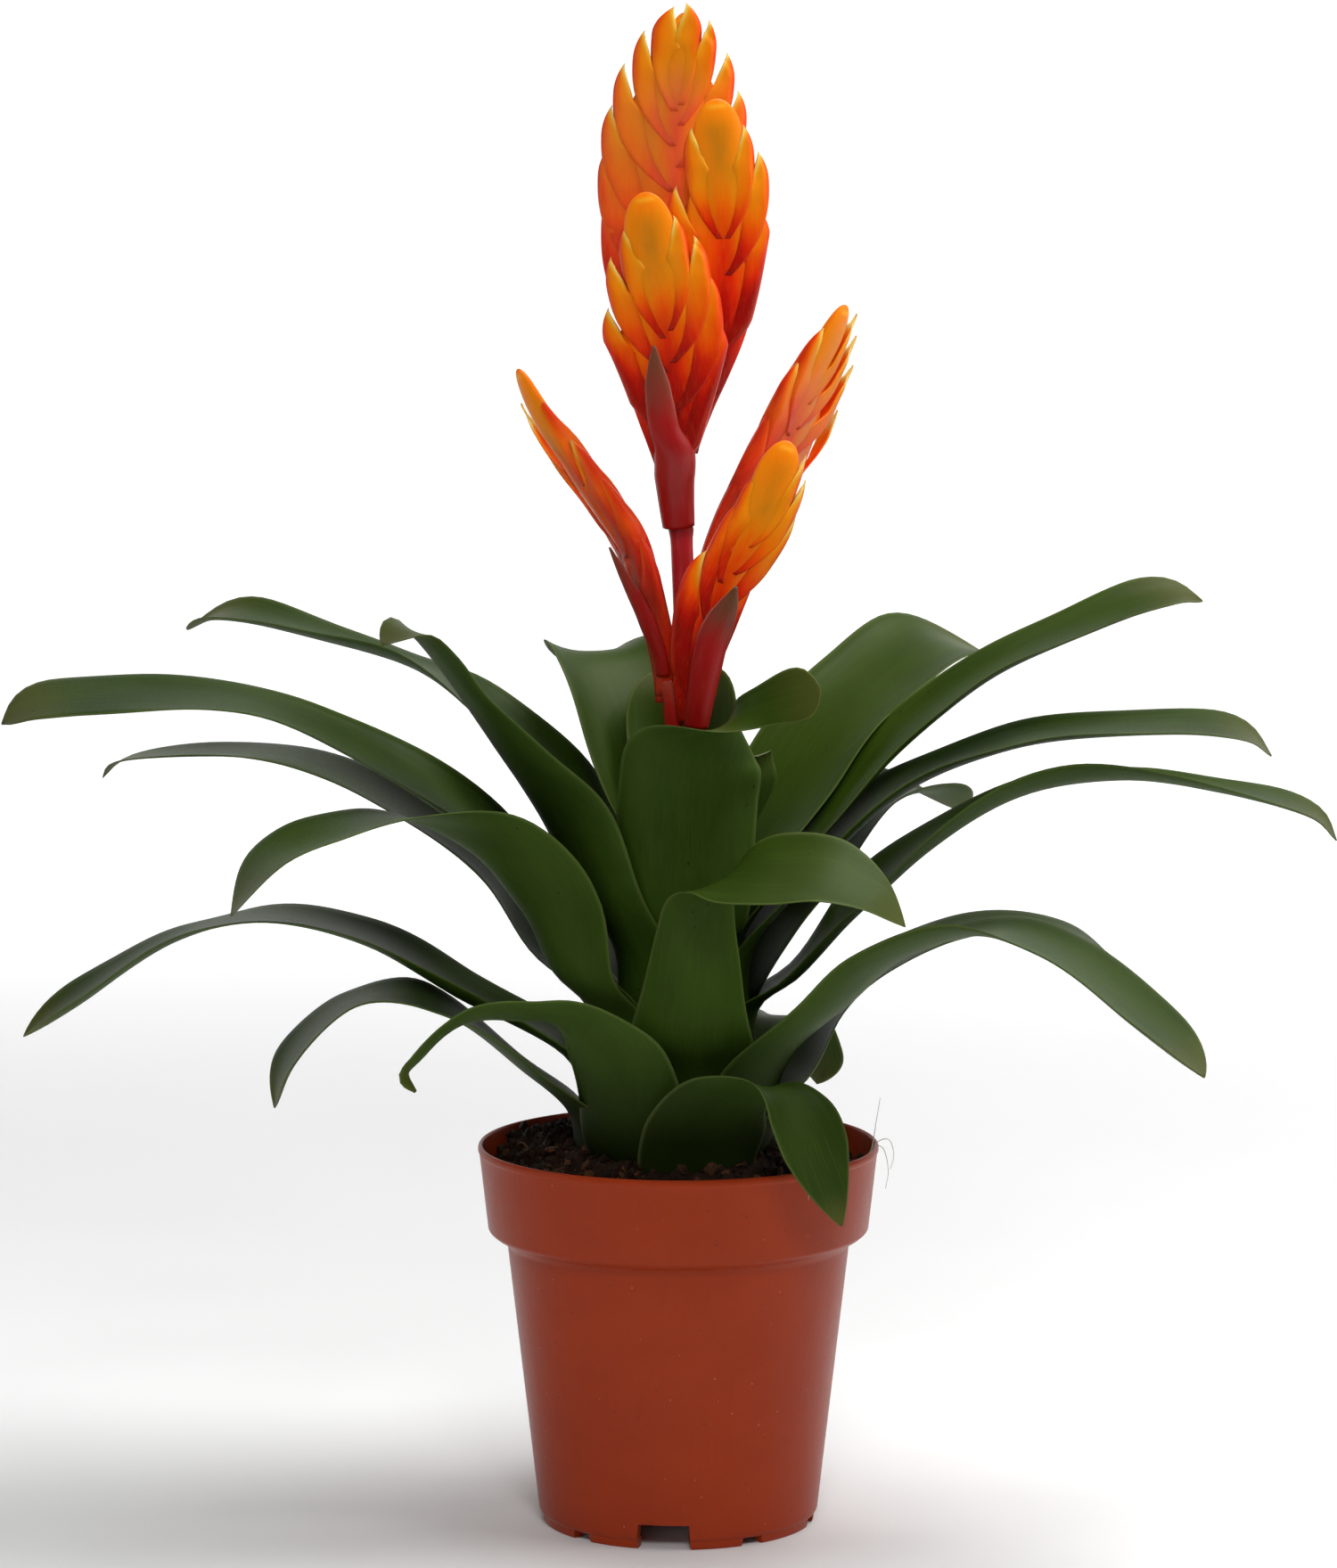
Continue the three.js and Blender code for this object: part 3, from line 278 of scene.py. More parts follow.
# The broad bracts below the spikes: thin curved blades, each with how brown it is, the direction that its
# outer face looks to, its line as x, y and z, and by share of its length its half width and how far its edges
# curl back
STEM_BRACTS = (
    {"name": "bract_top", "brown": 0.8, "facing": -92,
     "path": ((0, -4, 299.6), (-0.8, -6.1, 308.5), (-1.2, -8.7, 314), (-1.5, -12.3, 323),
              (-4.2, -13.2, 330), (-5.3, -13.1, 336), (-6.3, -13.1, 343), (-6.9, -13.2, 349),
              (-7.2, -13.2, 354.4)),
     "half": ((0, 4.6), (0.14, 5.2), (0.28, 5.9), (0.4, 6), (0.52, 4.4), (0.66, 4.2), (0.8, 3.6),
              (0.9, 2.1), (1, 0.4)),
     "curl": ((0, 62), (0.4, 62), (0.6, 34), (1, 24))},
    {"name": "bract_low_right", "brown": 1.0, "facing": -80,
     "path": ((5.4, -10.6, 241), (6.8, -12.1, 250), (8.3, -13, 259), (10.2, -13.2, 267.5),
              (12.2, -13.1, 272.6), (14.8, -13.2, 278), (17, -13.2, 283.6)),
     "half": ((0, 3.5), (0.22, 4.2), (0.42, 4.7), (0.62, 4.8), (0.76, 4.3), (0.88, 2.8), (1, 0.4)),
     "curl": ((0, 50), (0.5, 38), (1, 24))},
    {"name": "bract_low_left", "brown": 0.5, "facing": -130,
     "path": ((-5.1, -5, 256), (-6.1, -5.8, 262), (-8.6, -6.6, 269), (-11.4, -6.2, 276),
              (-14.4, -5.4, 282), (-17.4, -4.8, 288), (-20.4, -4.8, 294.4)),
     "half": ((0, 2.4), (0.2, 3), (0.4, 3.2), (0.6, 2.6), (0.8, 1.6), (1, 0.4)), "curl": ((0, 44), (1, 24))},
    {"name": "bract_foot", "brown": 0.0, "facing": -108,
     "path": ((-0.9, -4.4, 238), (-1.9, -4.7, 244), (-2.4, -4.9, 249.5), (-3.6, -5, 254.6)),
     "half": ((0, 3), (0.5, 2.8), (0.85, 2.2), (1, 1.2)), "curl": ((0, 52), (1, 34))},
)
BRACT_EDGE = 0.4


def clamp(x):
    return np.clip(x, 0, 1)


def smoothstep(start, end, x):
    t = clamp((np.asarray(x, float) - start) / (end - start))
    return t * t * (3 - 2 * t)


def mix(a, b, t):
    return a + (b - a) * t


def along(table, x, column=1):
    """The value at x of a line through the table's rows."""
    rows = np.array(table, float)
    return np.interp(x, rows[:, 0], rows[:, column])


def unit(vectors):
    return vectors / np.maximum(np.linalg.norm(vectors, axis=-1, keepdims=True), 1e-12)


def linear(red, green, blue):
    """A colour as seen on a screen, 0 to 255, as Blender's linear colour."""
    parts = np.array([red, green, blue]) / 255
    return (*np.where(parts <= 0.04045, parts / 12.92, ((parts + 0.055) / 1.055) ** 2.4), 1.0)


class Curve:
    """A smooth curve through points, the same one as in the CAD source."""

    def __init__(self, points):
        self.knots = np.array(points, float)
        self.steps = np.linspace(0, 1, CURVE_STEPS + 1)
        traced = self.at_step(self.steps)
        pieces = np.linalg.norm(np.diff(traced, axis=0), axis=1)
        self.lengths = np.concatenate([[0], np.cumsum(pieces)])
        self.length = self.lengths[-1]

    def at_step(self, steps):
        count = len(self.knots)
        place = (count - 1) * np.asarray(steps, float)
        index = np.minimum(np.floor(place).astype(int), count - 2)
        weight = (place - index)[..., None]
        first = 2 * self.knots[0] - self.knots[1]
        last = 2 * self.knots[-1] - self.knots[-2]
        knots = np.vstack([first, self.knots, last])
        p0, p1, p2, p3 = (knots[index + i] for i in range(4))
        gap = [np.power(((b - a) ** 2).sum(-1), 0.25)[..., None] for a, b in ((p0, p1), (p1, p2), (p2, p3))]
        before = ((p1 - p0) / gap[0] - (p2 - p0) / (gap[0] + gap[1]) + (p2 - p1) / gap[1]) * gap[1]
        after = ((p2 - p1) / gap[1] - (p3 - p1) / (gap[1] + gap[2]) + (p3 - p2) / gap[2]) * gap[1]
        return (p1 + before * weight + (3 * (p2 - p1) - 2 * before - after) * weight ** 2
                + (2 * (p1 - p2) + before + after) * weight ** 3)

    def at(self, shares):
        lengths = clamp(shares) * self.length
        return self.at_step(np.interp(lengths, self.lengths, self.steps))

    def way(self, shares):
        shares = np.asarray(shares, float)
        return unit(self.at(shares + 0.002) - self.at(shares - 0.002))


def carried(side, ways):
    """A side vector carried along a path without twist, by its ways."""
    sides = []
    for way in ways:
        side = side - way * side.dot(way)
        side = side / np.linalg.norm(side)
        sides.append(side)
    return np.array(sides)


def mesh_object(name, points, faces):
    """A mesh object from points in mm about the pot's axis."""
    mesh = bpy.data.meshes.new(name)
    mesh.from_pydata((np.asarray(points) * MM + POT_AXIS).tolist(), [], faces)
    made = bpy.data.objects.new(name, mesh)
    bpy.context.collection.objects.link(made)
    return made


def add_piece(name, points, faces, material, replaces=(), attributes=None, smooth=True):
    """A finished piece that rides on the one body, with the values that its material reads at each point."""
    piece = mesh_object(name, points, faces)
    mesh = piece.data
    for key, values in (attributes or {}).items():
        values = np.asarray(values, np.float32)
        kind, field = ("FLOAT", "value") if values.ndim == 1 else ("FLOAT_VECTOR", "vector")
        mesh.attributes.new(key, kind, "POINT").data.foreach_set(field, values.ravel())
    mesh.polygons.foreach_set("use_smooth", [smooth] * len(mesh.polygons))
    mesh.materials.append(material)
    mesh.update()
    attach(piece, "root")
    if replaces:
        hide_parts(*replaces)


def even_turns(sides):
    return np.arange(sides) * 2 * math.pi / sides


def closed_skin(rows, caps=True):
    """Faces of a closed skin over rows of points, each row a loop of the same even count, turned outwards."""
    count, around = rows.shape[:2]
    points = rows.reshape(-1, 3)
    faces = []
    for i in range(count - 1):
        here = i * around
        for j in range(around):
            turn = (j + 1) % around
            faces.append((here + j, here + turn, here + around + turn, here + around + j))
    last = (count - 1) * around
    if caps:
        for k in range(around // 2 - 1):
            back = around - 1 - k
            faces.append((k, back, back - 1, k + 1))
            faces.append((last + k, last + k + 1, last + back - 1, last + back))
    first = points[[face[0] for face in faces]]
    volume = 0
    for corner in (1, 2):
        a = points[[face[corner] for face in faces]]
        b = points[[face[corner + 1] for face in faces]]
        volume += (first * np.cross(a, b)).sum()
    if volume < 0:
        faces = [face[::-1] for face in faces]
    return points, faces


def joined(parts):
    """Several (points, faces, attributes) as one."""
    points = []
    faces = []
    attributes = {}
    start = 0
    for own_points, own_faces, own in parts:
        points.append(own_points)
        faces += [tuple(corner + start for corner in face) for face in own_faces]
        start += len(own_points)
        for key, values in own.items():
            attributes.setdefault(key, []).append(values)
    return np.vstack(points), faces, {key: np.concatenate(values) for key, values in attributes.items()}


def tube(path, radii, sides):
    """A round tube along a path, closed at both ends."""
    ways = unit(np.gradient(path, axis=0))
    across = carried(np.cross(ways[0], (0.31, 0.52, 0.79)), ways)[:, None]
    up = np.cross(ways, across[:, 0])[:, None]
    turns = even_turns(sides)[:, None]
    return closed_skin(path[:, None] + radii[:, None, None] * (across * np.cos(turns) + up * np.sin(turns)))


class Shader:
    """A material's nodes, made and linked in short calls."""

    def __init__(self, name):
        self.material = bpy.data.materials.new(name)
        self.material.use_nodes = True
        self.tree = self.material.node_tree
        self.surface = self.tree.nodes["Principled BSDF"]

    def set(self, node, key, value):
        socket = node.inputs[key]
        if isinstance(value, bpy.types.NodeSocket):
            self.tree.links.new(value, socket)
        else:
            socket.default_value = value

    def node(self, kind, inputs=None, **settings):
        made = self.tree.nodes.new("ShaderNode" + kind)
        for key, value in settings.items():
            setattr(made, key, value)
        for key, value in (inputs or {}).items():
            self.set(made, key, value)
        return made

    def value(self, name):
        return self.node("Attribute", attribute_name=name).outputs["Fac"]

    def vector(self, name):
        return self.node("Attribute", attribute_name=name).outputs["Vector"]

    def place(self):
        """The place on the object in mm."""
        return self.scaled(self.node("TexCoord").outputs["Object"], (1000, 1000, 1000))

    def scaled(self, vector, scale):
        return self.node("VectorMath", {0: vector, 1: scale}, operation="MULTIPLY").outputs[0]

    def noise(self, vector, scale, detail, rough):
        """Noise over a vector, with one scale or one for each axis."""
        if isinstance(scale, tuple):
            vector = self.scaled(vector, scale)
            scale = 1.0
        inputs = {"Vector": vector, "Scale": scale, "Detail": detail, "Roughness": rough}
        return self.node("TexNoise", inputs).outputs["Fac"]

    def specks(self, vector, scale, start, end):
        """Round specks in cells over a vector: 0 from start out and 1 from end in."""
        cells = self.node("TexVoronoi", {"Vector": vector, "Scale": scale}).outputs["Distance"]
        return self.span(cells, start, end)

    def math(self, operation, a, b=0.0, clamped=False):
        return self.node("Math", {0: a, 1: b}, operation=operation, use_clamp=clamped).outputs[0]

    def plus(self, a, b, clamped=False):
        return self.math("ADD", a, b, clamped)

    def minus(self, a, b):
        return self.math("SUBTRACT", a, b)

    def times(self, a, b):
        return self.math("MULTIPLY", a, b)

    def span(self, value, start, end, low=0.0, high=1.0):
        """A smooth step of the value from start to end, as low to high."""
        inputs = {"Value": value, "From Min": start, "From Max": end, "To Min": low, "To Max": high}
        return self.node("MapRange", inputs, interpolation_type="SMOOTHSTEP").outputs[0]

    def blend(self, factor, a, b):
        return self.node("Mix", {0: factor, 6: a, 7: b}, data_type="RGBA").outputs[2]

    def ramp(self, value, *stops):
        """A colour ramp through stops, each a place and a colour, in order."""
        made = self.node("ValToRGB", {"Fac": value})
        for place, colour in stops[1:-1]:
            made.color_ramp.elements.new(place)
        for element, (place, colour) in zip(made.color_ramp.elements, stops):
            element.position = place
            element.color = linear(*colour)
        return made.outputs["Color"]

    def bump(self, height, strength, distance):
        inputs = {"Height": height, "Strength": strength, "Distance": distance}
        return self.node("Bump", inputs).outputs["Normal"]

    def finish(self, **inputs):
        for key, value in inputs.items():
            self.set(self.surface, key.replace("_", " "), value)
        return self.material


# Depths of relief and of light in a surface are in metres, and the places that noise runs over are in mm
FINE_RELIEF = 0.00012


def leaf_material():
    """Dark glossy upper face, paler dull underside, a pale margin line, fine lines along the blade, and
    painted shade on the outer face near the foot.
    """
    s = Shader("vriesea_leaf")
    place = s.vector("leaf_place")
    share = s.value("share")
    across = s.value("across")
    upper = s.value("upper")
    distance = s.value("distance")
    variety = s.value("variety")
    lines = s.noise(place, (1.6, 0.035, 1), 4, 0.65)
    fine = s.noise(place, (5.5, 0.09, 1), 3, 0.6)
    cloud = s.noise(place, (0.06, 0.022, 1), 3, 0.5)
    grain = s.noise(place, (2.2, 1.4, 1), 4, 0.7)

    top = s.ramp(cloud, (0.3, (27, 46, 3)), (0.7, (42, 61, 6)))
    top = s.blend(s.span(lines, 0.45, 0.75, 0, 0.35), top, linear(58, 84, 14))
    top = s.blend(s.span(grain, 0.5, 0.8, 0, 0.2), top, linear(18, 36, 3))
    under = s.ramp(cloud, (0.3, (37, 58, 10)), (0.7, (54, 78, 20)))
    under = s.blend(s.span(fine, 0.45, 0.75, 0, 0.4), under, linear(72, 92, 40))
    colour = s.blend(upper, under, top)
    pale_foot = s.blend(upper, linear(40, 54, 12), linear(70, 88, 18))
    colour = s.blend(s.span(distance, 70, 5, 0, 0.75), colour, pale_foot)
    dry_tip = s.span(share, 0.9, 1.0, 0, 0.4)
    colour = s.blend(dry_tip, colour, linear(98, 92, 44))
    colour = s.blend(s.times(variety, 0.3), colour, linear(62, 80, 22))
    # Painted shade: the outer face is darkened towards the foot, where the nest of sheaths shades it
    painted_foot_shade = s.times(s.span(distance, 75, 25), s.minus(1.0, upper))
    colour = s.blend(s.times(painted_foot_shade, 0.85), colour, linear(17, 26, 5))
    edge = s.span(s.math("ABSOLUTE", across), 0.93, 0.995)
    colour = s.blend(s.times(edge, 0.16), colour, linear(132, 146, 84))
    speck = s.specks(s.scaled(place, (0.16, 0.09, 1)), 1.0, 0.06, 0.03)
    colour = s.blend(s.times(speck, 0.75), colour, linear(20, 18, 8))

    rough = s.plus(s.span(grain, 0.3, 0.8, 0.0, 0.12), s.span(upper, 0, 1, 0.58, 0.44))
    height = s.plus(s.times(lines, 0.8), s.times(fine, 0.5))
    height = s.plus(height, s.times(grain, 0.25))
    return s.finish(Base_Color=colour, Roughness=rough, Normal=s.bump(height, 0.5, FINE_RELIEF),
                    Specular_IOR_Level=0.15, Specular_Tint=(1, 1, 0.72, 1), Subsurface_Weight=0.02,
                    Subsurface_Radius=(0.0006, 0.0012, 0.0003), Subsurface_Scale=1.0)


def bract_material():
    """Crimson at the foot through red-orange to orange and olive-yellow, with pale margins and red keels."""
    s = Shader("vriesea_bract")
    place = s.vector("bract_place")
    margin = s.value("margin")
    lines = s.noise(place, (1.3, 0.1, 1), 4, 0.6)
    fine = s.noise(place, (4.5, 0.25, 1), 3, 0.6)
    cloud = s.noise(place, (0.16, 0.07, 1), 3, 0.5)
    grain = s.noise(place, (3, 3, 1), 3, 0.6)
    shifted = s.plus(s.value("ripe"), s.times(s.minus(cloud, 0.5), 0.35))
    shifted = s.plus(shifted, s.times(s.minus(lines, 0.5), 0.16), clamped=True)
    colour = s.ramp(shifted, (0.0, (150, 8, 8)), (0.2, (186, 14, 8)), (0.4, (224, 40, 6)),
                    (0.6, (244, 76, 4)), (0.8, (251, 110, 4)), (1.0, (251, 138, 12)))
    olive = s.times(s.value("olive"), s.span(cloud, 0.3, 0.7, 0.6, 1.0))
    colour = s.blend(olive, colour, linear(192, 120, 18))
    flush = s.times(s.value("flush"), s.span(lines, 0.3, 0.7, 0.5, 0.9))
    colour = s.blend(flush, colour, linear(246, 104, 70))
    colour = s.blend(margin, colour, linear(255, 190, 40))
    colour = s.blend(s.math("POWER", margin, 4.0), colour, linear(255, 232, 150))
    colour = s.blend(s.times(s.value("keel"), 0.75), colour, linear(214, 44, 14))
    colour = s.blend(s.value("tip"), colour, linear(170, 70, 20))
    colour = s.blend(s.span(fine, 0.5, 0.8, 0, 0.12), colour, linear(255, 180, 60))
    height = s.plus(s.times(lines, 0.8), s.times(fine, 0.5))
    return s.finish(Base_Color=colour, Roughness=s.span(grain, 0.3, 0.8, 0.3, 0.42),
                    Normal=s.bump(height, 0.5, FINE_RELIEF), Specular_IOR_Level=0.22,
                    Specular_Tint=(1, 0.88, 0.7, 1), Subsurface_Weight=0.25,
                    Subsurface_Radius=(0.002, 0.0009, 0.0003), Subsurface_Scale=1.0)


def stem_bract_material():
    """Dark crimson below to olive brown at the tip, with a pale pinkish margin."""
    s = Shader("vriesea_stem_bract")
    place = s.vector("bract_place")
    share = s.value("share")
    lines = s.noise(place, (1.8, 0.12, 1), 4, 0.6)
    cloud = s.noise(place, (0.3, 0.12, 1), 3, 0.5)
    shifted = s.plus(share, s.times(s.minus(cloud, 0.5), 0.2), clamped=True)
    red = s.ramp(shifted, (0.0, (158, 8, 10)), (0.55, (166, 12, 10)), (1.0, (168, 60, 44)))
    olive_brown = s.ramp(shifted, (0.0, (152, 8, 8)), (0.6, (158, 10, 8)), (0.78, (122, 52, 34)),
                         (1.0, (84, 64, 34)))
    colour = s.blend(s.value("brown"), red, olive_brown)
    colour = s.blend(s.span(lines, 0.45, 0.8, 0, 0.15), colour, linear(176, 84, 64))
    edge = s.span(s.math("ABSOLUTE", s.value("across")), 0.88, 0.98, 0, 0.6)
    colour = s.blend(s.times(edge, s.span(share, 0.5, 0.75)), colour, linear(206, 120, 110))
    return s.finish(Base_Color=colour, Roughness=s.span(cloud, 0.3, 0.8, 0.38, 0.52),
                    Normal=s.bump(lines, 0.5, FINE_RELIEF), Subsurface_Weight=0.1,
                    Subsurface_Radius=(0.0015, 0.0005, 0.0003))


def scape_material():
    """Dull crimson with paler lines, darker on its joints."""
    s = Shader("vriesea_scape")
    place = s.place()
    cloud = s.noise(place, (0.2, 0.2, 0.04), 4, 0.6)
    lines = s.noise(place, (1.4, 1.4, 0.06), 4, 0.6)
    colour = s.ramp(cloud, (0.3, (150, 20, 24)), (0.7, (188, 36, 44)))
    colour = s.blend(s.span(lines, 0.45, 0.75, 0, 0.35), colour, linear(206, 84, 92))
    colour = s.blend(s.value("ring"), colour, linear(92, 12, 16))
    return s.finish(Base_Color=colour, Roughness=0.42, Normal=s.bump(lines, 0.4, 0.0001),
                    Subsurface_Weight=0.1, Subsurface_Radius=(0.0015, 0.0004, 0.0003))


def pot_material():
    """Moulded terracotta plastic, a little cloudy, with dust, specks and fine scuffs."""
    s = Shader("nursery_pot")
    place = s.place()
    cloud = s.noise(place, (0.02, 0.02, 0.03), 4, 0.6)
    grain = s.noise(place, 1.1, 4, 0.7)
    streaks = s.noise(place, (0.5, 0.5, 0.02), 3, 0.6)
    colour = s.ramp(cloud, (0.3, (140, 46, 18)), (0.7, (150, 52, 22)))
    colour = s.blend(s.span(grain, 0.45, 0.8, 0, 0.3), colour, linear(148, 60, 32))
    colour = s.blend(s.span(streaks, 0.5, 0.8, 0, 0.2), colour, linear(118, 42, 20))
    speck = s.specks(place, 0.16, 0.075, 0.035)
    colour = s.blend(s.times(speck, 0.7), colour, linear(92, 40, 26))
    dust = s.specks(s.scaled(place, (1, 1, 0.8)), 0.21, 0.055, 0.03)
    colour = s.blend(s.times(dust, 0.55), colour, linear(196, 138, 116))
    rough = s.plus(s.span(cloud, 0.3, 0.7, 0.32, 0.38), s.span(grain, 0.4, 0.8, 0, 0.1))
    uneven = s.node("Bump", {"Height": s.noise(place, 0.12, 3, 0.5), "Strength": 0.3, "Distance": 0.0004,
                             "Normal": s.bump(grain, 0.35, 0.00008)})
    return s.finish(Base_Color=colour, Roughness=rough, Normal=uneven.outputs["Normal"],
                    Specular_IOR_Level=0.16, Specular_Tint=(1, 0.86, 0.76, 1), Subsurface_Weight=0.05,
                    Subsurface_Radius=(0.001, 0.0004, 0.0002))


def mix_material():
    """Moist peat and bark, black-brown with paler crumbs."""
    s = Shader("potting_mix")
    crumb = s.value("crumb")
    grain = s.noise(s.place(), 0.7, 5, 0.75)
    colour = s.ramp(grain, (0.3, (18, 11, 8)), (0.75, (58, 40, 30)))
    colour = s.blend(s.span(crumb, 0.6, 1.0, 0, 0.8), colour, linear(96, 64, 42))
    colour = s.blend(s.span(crumb, 0.0, 0.3, 0.5, 0), colour, linear(14, 9, 7))
    return s.finish(Base_Color=colour, Roughness=s.span(grain, 0.3, 0.8, 0.65, 0.95),
                    Normal=s.bump(grain, 0.9, 0.0006), Specular_IOR_Level=0.3)


def plain_material(name, dark, light, rough, scale):
    """A small piece's two-tone grain."""
    s = Shader(name)
    grain = s.noise(s.place(), scale, 4, 0.65)
    colour = s.ramp(grain, (0.3, dark), (0.75, light))
    return s.finish(Base_Color=colour, Roughness=rough, Normal=s.bump(grain, 0.6, 0.0002))


def spread(z):
    """How far the nest of sheaths has opened at a height."""
    return SPREAD * np.sin(math.pi / 2 * clamp((z - SPREAD_FROM) / (SPREAD_TO - SPREAD_FROM)))


def sheath_angle(radius):
    return min(SHEATH_HALF_WIDTH / radius, SHEATH_MOST_ANGLE)


def ring_radii(leaves):
    """Each leaf's ring on the stem, outside every leaf whose sheath it would meet."""
    placed = []
    for leaf in reversed(leaves):
        radius = INNER_RING
        for heading, other in placed:
            apart = abs((math.fmod(leaf["heading"] - heading, 360) + 540) % 360 - 180) * DEG
            if apart < sheath_angle(other) + sheath_angle(other + RING_PITCH) + 0.1:
                radius = max(radius, other + RING_PITCH)
        placed.append((leaf["heading"], radius))
    return [radius for heading, radius in reversed(placed)]


def smoothed(table, shares):
    """The table's line at the shares, with its corners rounded off."""
    kernel = np.exp(-np.linspace(-2, 2, 9) ** 2)
    return np.convolve(np.pad(along(table, shares), 4, "edge"), kernel / kernel.sum(), "valid")


def leaf_rib(leaf, ring):
    """A leaf's rib from the stem to its tip, and how far along it the sheath ends."""
    heading = leaf["heading"] * DEG

    def outwards(radius, z):
        return radius * math.cos(heading), radius * math.sin(heading), z

    above = list(leaf["path"]) if "path" in leaf else [outwards(*spot) for spot in leaf["rib"]]
    heights = np.arange(STEM_TOP + SEAT, above[0][2] - SHEATH_CLEARANCE, SHEATH_STEP)
    sheath = [outwards(ring + spread(z), z) for z in heights]
    rib = Curve(sheath + above)
    opens_at = rib.lengths[round(len(sheath) / (len(sheath) + len(above) - 1) * CURVE_STEPS)]
    return rib, opens_at


def running_sum(slopes):
    """Each row of slopes summed from 0 at the rib to its full value at the edge."""
    steps = (slopes[:, 1:] + slopes[:, :-1]) / (2 * SECTION_STEPS)
    return np.concatenate([0 * slopes[:, :1], np.cumsum(steps, 1)], 1)


def turned_about_axis(vectors, turns):
    x, y, z = vectors.T
    return np.stack([x * np.cos(turns) - y * np.sin(turns), x * np.sin(turns) + y * np.cos(turns), z], -1)


def leaf_surface(leaf, ring, shares, places):
    """Points, normals, half widths, distances and shares of blade and tip of a leaf's middle surface."""
    rib, opens_at = leaf_rib(leaf, ring)
    heading = leaf["heading"] * DEG
    at = rib.at(shares)
    radius = np.hypot(at[:, 0], at[:, 1])
    distance = shares * rib.length
    ahead = rib.at(np.minimum(shares + TANGENT_REACH, 1))
    tangent = unit(ahead - rib.at(np.maximum(shares - TANGENT_REACH, 0)))
    fine = np.linspace(0, 1, RIB_STEPS + 1)
    sides = carried(np.array([-math.sin(heading), math.cos(heading), 0]), rib.way(fine))
    side = np.stack([np.interp(shares, fine, sides[:, i]) for i in range(3)], -1)
    side = unit(side - tangent * (side * tangent).sum(-1)[:, None])
    roll = smoothed(leaf["roll"], shares)[:, None] * DEG
    side = side * np.cos(roll) + np.cross(tangent, side) * np.sin(roll)
    inward = np.cross(tangent, side)

    flat = mix(ring * sheath_angle(ring), leaf["width"] / 2, smoothstep(*BLADE_WIDENS, distance))
    flat = flat * smoothed(leaf.get("widths", ((0, 1), (1, 1))), shares)
    point = leaf.get("point", TIP_FROM)
    end = clamp((shares - point) / (1 - point))
    flat = np.maximum(LEAST_HALF_WIDTH, flat * (1 - end ** leaf.get("taper", TIP_TAPER)) ** 0.85)
    is_blade = smoothstep(*BLADE_OPENS, distance - opens_at)
    half = np.minimum(flat, mix(radius * SHEATH_MOST_ANGLE, flat, is_blade))

    curl = smoothed(leaf["channel"], shares)[:, None] * DEG
    bend = curl * np.linspace(0, 1, SECTION_STEPS + 1) ** CHANNEL_POWER
    out = running_sum(np.cos(bend))
    lift = running_sum(np.sin(bend))
    spots = []
    normals = []
    for v in places:
        size = abs(v) * SECTION_STEPS
        index = min(int(size), SECTION_STEPS - 1)
        part = size - index
        own_out = (mix(out[:, index], out[:, index + 1], part) * half * np.sign(v))[:, None]
        own_lift = (mix(lift[:, index], lift[:, index + 1], part) * half)[:, None]
        own_bend = (mix(bend[:, index], bend[:, index + 1], part) * np.sign(v))[:, None]
        blade = at + side * own_out + inward * own_lift
        blade_normal = inward * np.cos(own_bend) - side * np.sin(own_bend)
        turns = v * half / np.maximum(radius, 1)
        spots.append(mix(turned_about_axis(at, turns), blade, is_blade[:, None]))
        normals.append(unit(mix(turned_about_axis(inward, turns), blade_normal, is_blade[:, None])))
    return spots, normals, half, distance, is_blade, end


def leaf_mesh(leaf, ring, number):
    """One strap leaf: a sheath that clasps the nest, and a channelled blade that arches out to its tip."""
    shares = 1 - (1 - np.linspace(0, 1, LEAF_ROWS)) ** 1.15
    places = np.linspace(-1, 1, LEAF_ACROSS)
    spots, normals, half, distance, is_blade, end = leaf_surface(leaf, ring, shares, places)
    phase = chance.uniform(0, 6.28, 4)
    wave_right = np.sin(distance / 13 + phase[0]) + 0.6 * np.sin(distance / 7.3 + phase[1])
    wave_left = np.sin(distance / 14.5 + phase[2]) + 0.6 * np.sin(distance / 6.7 + phase[3])
    upper_face = []
    lower_face = []
    middle = []
    for v, spot, normal in zip(places, spots, normals):
        wave = wave_right if v > 0 else wave_left
        ripple = wave * EDGE_WAVE * abs(v) ** 3 * is_blade * (1 - 0.6 * end)
        spot = spot + normal * ripple[:, None]
        thick = LEAF_THICKNESS / 2 * (1 - 0.55 * abs(v) ** 4) * (1 - 0.6 * end ** 3)
        upper_face.append(spot + normal * thick[:, None])
        lower_face.append(spot - normal * thick[:, None])
        middle.append(spot)
    left = middle[0] + 0.25 * unit(middle[0] - middle[1])
    right = middle[-1] + 0.25 * unit(middle[-1] - middle[-2])
    rows = np.stack([*lower_face, right, *upper_face[::-1], left], 1)
    rows[0, :, 2] = STEM_TOP + SEAT
    points, faces = closed_skin(rows)
    around = rows.shape[1]
    across = np.tile([*places, 1.02, *places[::-1], -1.02], LEAF_ROWS)
    distance = np.repeat(distance, around)
    out = across * np.repeat(half, around)
    attributes = {
        "share": np.repeat(shares, around),
        "distance": distance,
        "across": across,
        "upper": np.tile([0] * LEAF_ACROSS + [0.5] + [1] * LEAF_ACROSS + [0.5], LEAF_ROWS),
        "variety": np.full(len(points), chance.uniform(0, 1)),
        "leaf_place": np.stack([out, distance, np.full(len(points), number * 17.3)], -1),
    }
    return points, faces, attributes


LEAF = leaf_material()
for number, (leaf, ring) in enumerate(zip(LEAVES, ring_radii(LEAVES))):
    points, faces, attributes = leaf_mesh(leaf, ring, number)
    add_piece("dressed_" + leaf["name"], points, faces, LEAF, [leaf["name"]], attributes)


